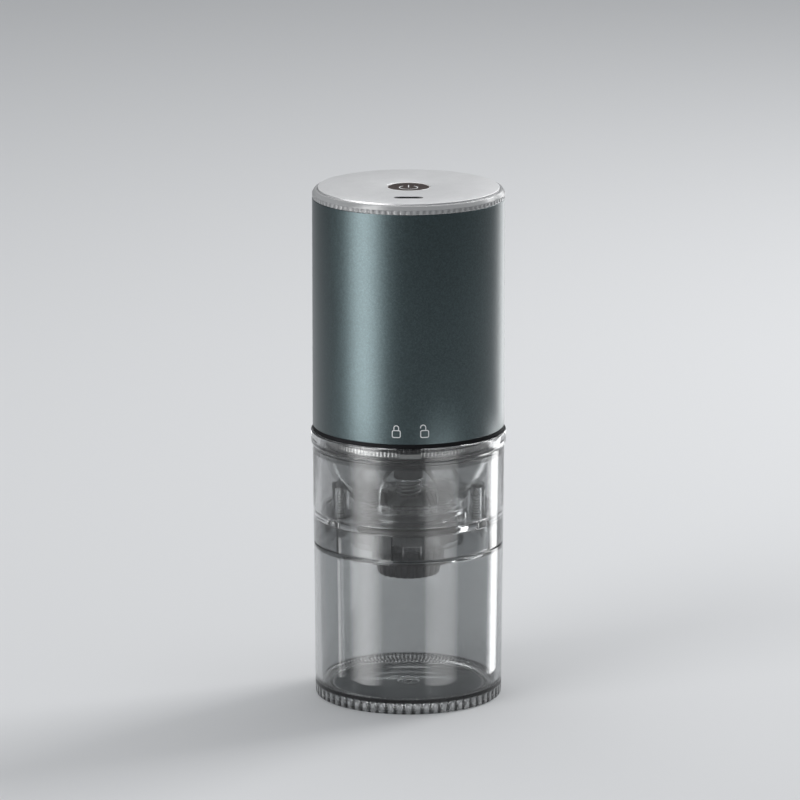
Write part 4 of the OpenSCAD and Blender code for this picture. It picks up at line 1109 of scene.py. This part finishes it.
def slot_block(name, length, width, low, high, round_r):
    """An upright block with rounded corners at the charging port's place in the lid."""
    bm = bmesh.new()
    x_in, y_in = length / 2 - round_r, width / 2 - round_r
    outline = []
    for side, up, first in ((1, -1, -90), (1, 1, 0), (-1, 1, 90), (-1, -1, 180)):
        outline += arc(side * x_in, up * y_in, round_r, first, first + 90, 6)
    rows = [[bm.verts.new((x, y - PORT_Y, z)) for x, y in outline] for z in (low, high)]
    for k in range(len(outline)):
        m = (k + 1) % len(outline)
        bm.faces.new((rows[0][k], rows[0][m], rows[1][m], rows[1][k]))
    bm.faces.new(rows[0])
    bm.faces.new(rows[1])
    return finished(name, bm)


combine(rim, [slot_block("slot", SLOT_L, SLOT_W, plate_z - 4, plate_z + 1, SLOT_ROUND)], "DIFFERENCE")
# The serrations' grooves get painted shade in the rim's colour.
dress(rim, frosted("rim_plastic", (0.85, 0.855, 0.86), 0.16, 0.5, rim_grooves), "motor_unit",
      ["lid_rim"])


# ---- Lid plate -----------------------------------------------------------------------------------
# A fine blasted aluminium plate lies in the rim's recess, with bright chamfered edges, a round hole for
# the button and a slot over the charging port.

BLASTED = metal("blasted_aluminium", (0.78, 0.78, 0.785), 0.5, 1600, 0.65)
plate = lathe("lid_plate_blasted", filleted([
    (trim_in, plate_z, 0), (PLATE_HIGH.x, plate_z, 0), (PLATE_HIGH.x, PLATE_HIGH.z, 0.16),
    (trim_in, PLATE_HIGH.z, 0.15)], 3), 256)
combine(plate, [slot_block("slot", SLOT_L, SLOT_W, plate_z - 1, PLATE_HIGH.z + 1, SLOT_ROUND)], "DIFFERENCE")
dress(plate, BLASTED, "motor_unit", ["lid_plate"])


# ---- Button, its ring and the power sign ---------------------------------------------------------
# The button is a dark brown cap with a shallow dish, set in a white light ring. The power sign is printed
# in the dish.

BUTTON_LOW, BUTTON_HIGH = in_mm("power_button")
BUTTON_R = 7.5
SIGN_R = 3.3
FLANGE_H = 0.6
ring_in = BUTTON_R + 0.12
neck_r = TRIM_HIGH.x - 1.45
light_ring = lathe("button_ring_white", filleted([
    (ring_in, TRIM_LOW.z, 0), (TRIM_HIGH.x, TRIM_LOW.z, 0.1), (TRIM_HIGH.x, TRIM_LOW.z + FLANGE_H, 0.1),
    (neck_r, TRIM_LOW.z + FLANGE_H, 0), (neck_r, TRIM_HIGH.z, 0.25), (ring_in, TRIM_HIGH.z, 0.25)]), 128)
LIGHT_WHITE = moulded("light_ring_white", (0.8, 0.8, 0.79), 0.25, 2000, 0.00001, 0.3)
dress(light_ring, LIGHT_WHITE, "motor_unit", ["button_ring"])
STEM_R = 2.0
brim_r = BUTTON_R + 0.9
brim_z = TRIM_LOW.z - 2 * FLANGE_H
button_top = BUTTON_HIGH.z
button = lathe("power_button_cap", filleted([
    (0, BUTTON_LOW.z, 0), (STEM_R, BUTTON_LOW.z, 0.2), (STEM_R, brim_z, 0.2), (brim_r, brim_z, 0.1),
    (brim_r, brim_z + FLANGE_H, 0.1), (BUTTON_R, brim_z + FLANGE_H, 0), (BUTTON_R, button_top, 0.4),
    (BUTTON_R - 1.2, button_top - 0.05, 0.3), (3, button_top - 0.25, 0), (0, button_top - 0.3, 0)]), 128)
BROWN = moulded("button_brown", (0.034, 0.019, 0.015), 0.35, 1500, 0.00001, gloss=0.25)
dress(button, BROWN, "button", ["power_button"])


def on_button(u, v, lift):
    """Places a flat point on the button's dish."""
    return (u, v, button_top - 0.24 + 0.02 * math.hypot(u, v) + lift)


printed("power_sign", [(arc(0, -0.6, SIGN_R, 125, 415, 40), False), ([(0, -0.2), (0, 1.8), (0, 3.8)], False)],
        on_button, 0.03, INK, "button")


# ---- Charging port -------------------------------------------------------------------------------
# The charging port is a drawn and nickel plated shell that stands on the board under the lid's slot. A
# black rubber gasket fills the gap round it.

NICKEL = metal("nickel_plate", (0.66, 0.63, 0.57), 0.25)
dress_node("usb_c_socket", NICKEL)
PORT_W, PORT_D, PORT_ROUND = 8.34, 2.66, 1.3
gasket = slot_block("port_gasket", SLOT_L - 0.04, SLOT_W - 0.04, plate_z + 0.15, PLATE_HIGH.z - 0.12,
                    SLOT_ROUND)
tunnel = slot_block("tunnel", PORT_W, PORT_D, plate_z - 0.2, PLATE_HIGH.z + 1, PORT_ROUND)
combine(gasket, [tunnel], "DIFFERENCE")
dress(gasket, moulded("port_rubber", (0.02, 0.02, 0.02), 0.6, 1800, 0.00006), "motor_unit")


# ---- Gearbox, motor, cells and board -------------------------------------------------------------
# Inside the shell a die cast gear housing with acetal planets sits under a small motor, two wrapped cells
# stand beside it in a natural plastic frame, and a green board lies on top.

for steel_piece in ("frame_screws", "gearbox_screws", "output_washer", "motor_shaft", "motor_plate",
                    "motor_screws", "board_screws"):
    dress_node(steel_piece, STEEL)
ZINC = metal("cast_zinc", (0.5, 0.51, 0.52), 0.45, 2500)
for cast_piece in ("gear_housing", "planet_carrier"):
    dress_node(cast_piece, ZINC)
ACETAL = moulded("acetal", (0.76, 0.75, 0.71), 0.35, 2500, 0.00002)
for gear in ("planet_gear_1", "planet_gear_2", "planet_gear_3"):
    dress_node(gear, ACETAL)
dress_node("sun_pinion", BRASS)
dress_node("output_bush", metal("sintered_bronze", (0.45, 0.28, 0.14), 0.5, 2200))
for plated_piece in ("motor_can", "motor_terminals", "battery_contacts"):
    dress_node(plated_piece, NICKEL)
dress_node("motor_leads", moulded("lead_red", (0.5, 0.03, 0.025), 0.4))
dress_node("inner_frame", moulded("frame_natural", (0.6, 0.6, 0.57), 0.45))
dress_node("battery_cells", moulded("cell_wrap", (0.03, 0.12, 0.33), 0.3, 900, 0.00002, 0.3))
dress_node("control_board", moulded("solder_mask", (0.01, 0.12, 0.05), 0.3, 1200, 0.00004, 0.4))
dress_node("indicator_led", moulded("led_resin", (0.8, 0.8, 0.7), 0.2))


# ---- Floor ---------------------------------------------------------------------------------------
# One wide matt sheet, pale and plain. It isn't part of the grinder.

floor_material, floor_tree = new_material("floor_paper")
surface(floor_material, floor_tree.add("BsdfPrincipled", {
    "Base Color": FLOOR_COLOUR,
    "Roughness": 0.9 + floor_tree.noise(40, 2.0) * 0.1,
    "Specular IOR Level": 0.0}))
floor_mesh = bpy.data.meshes.new("floor")
REACH = 6
FLOOR_Z = -0.0001
floor_mesh.from_pydata([(x * REACH, y * REACH, FLOOR_Z) for x, y in ((-1, -1), (1, -1), (1, 1), (-1, 1))],
                       [], [(0, 1, 2, 3)])
floor_mesh.materials.append(floor_material)
floor = bpy.data.objects.new("floor", floor_mesh)
bpy.context.scene.collection.objects.link(floor)
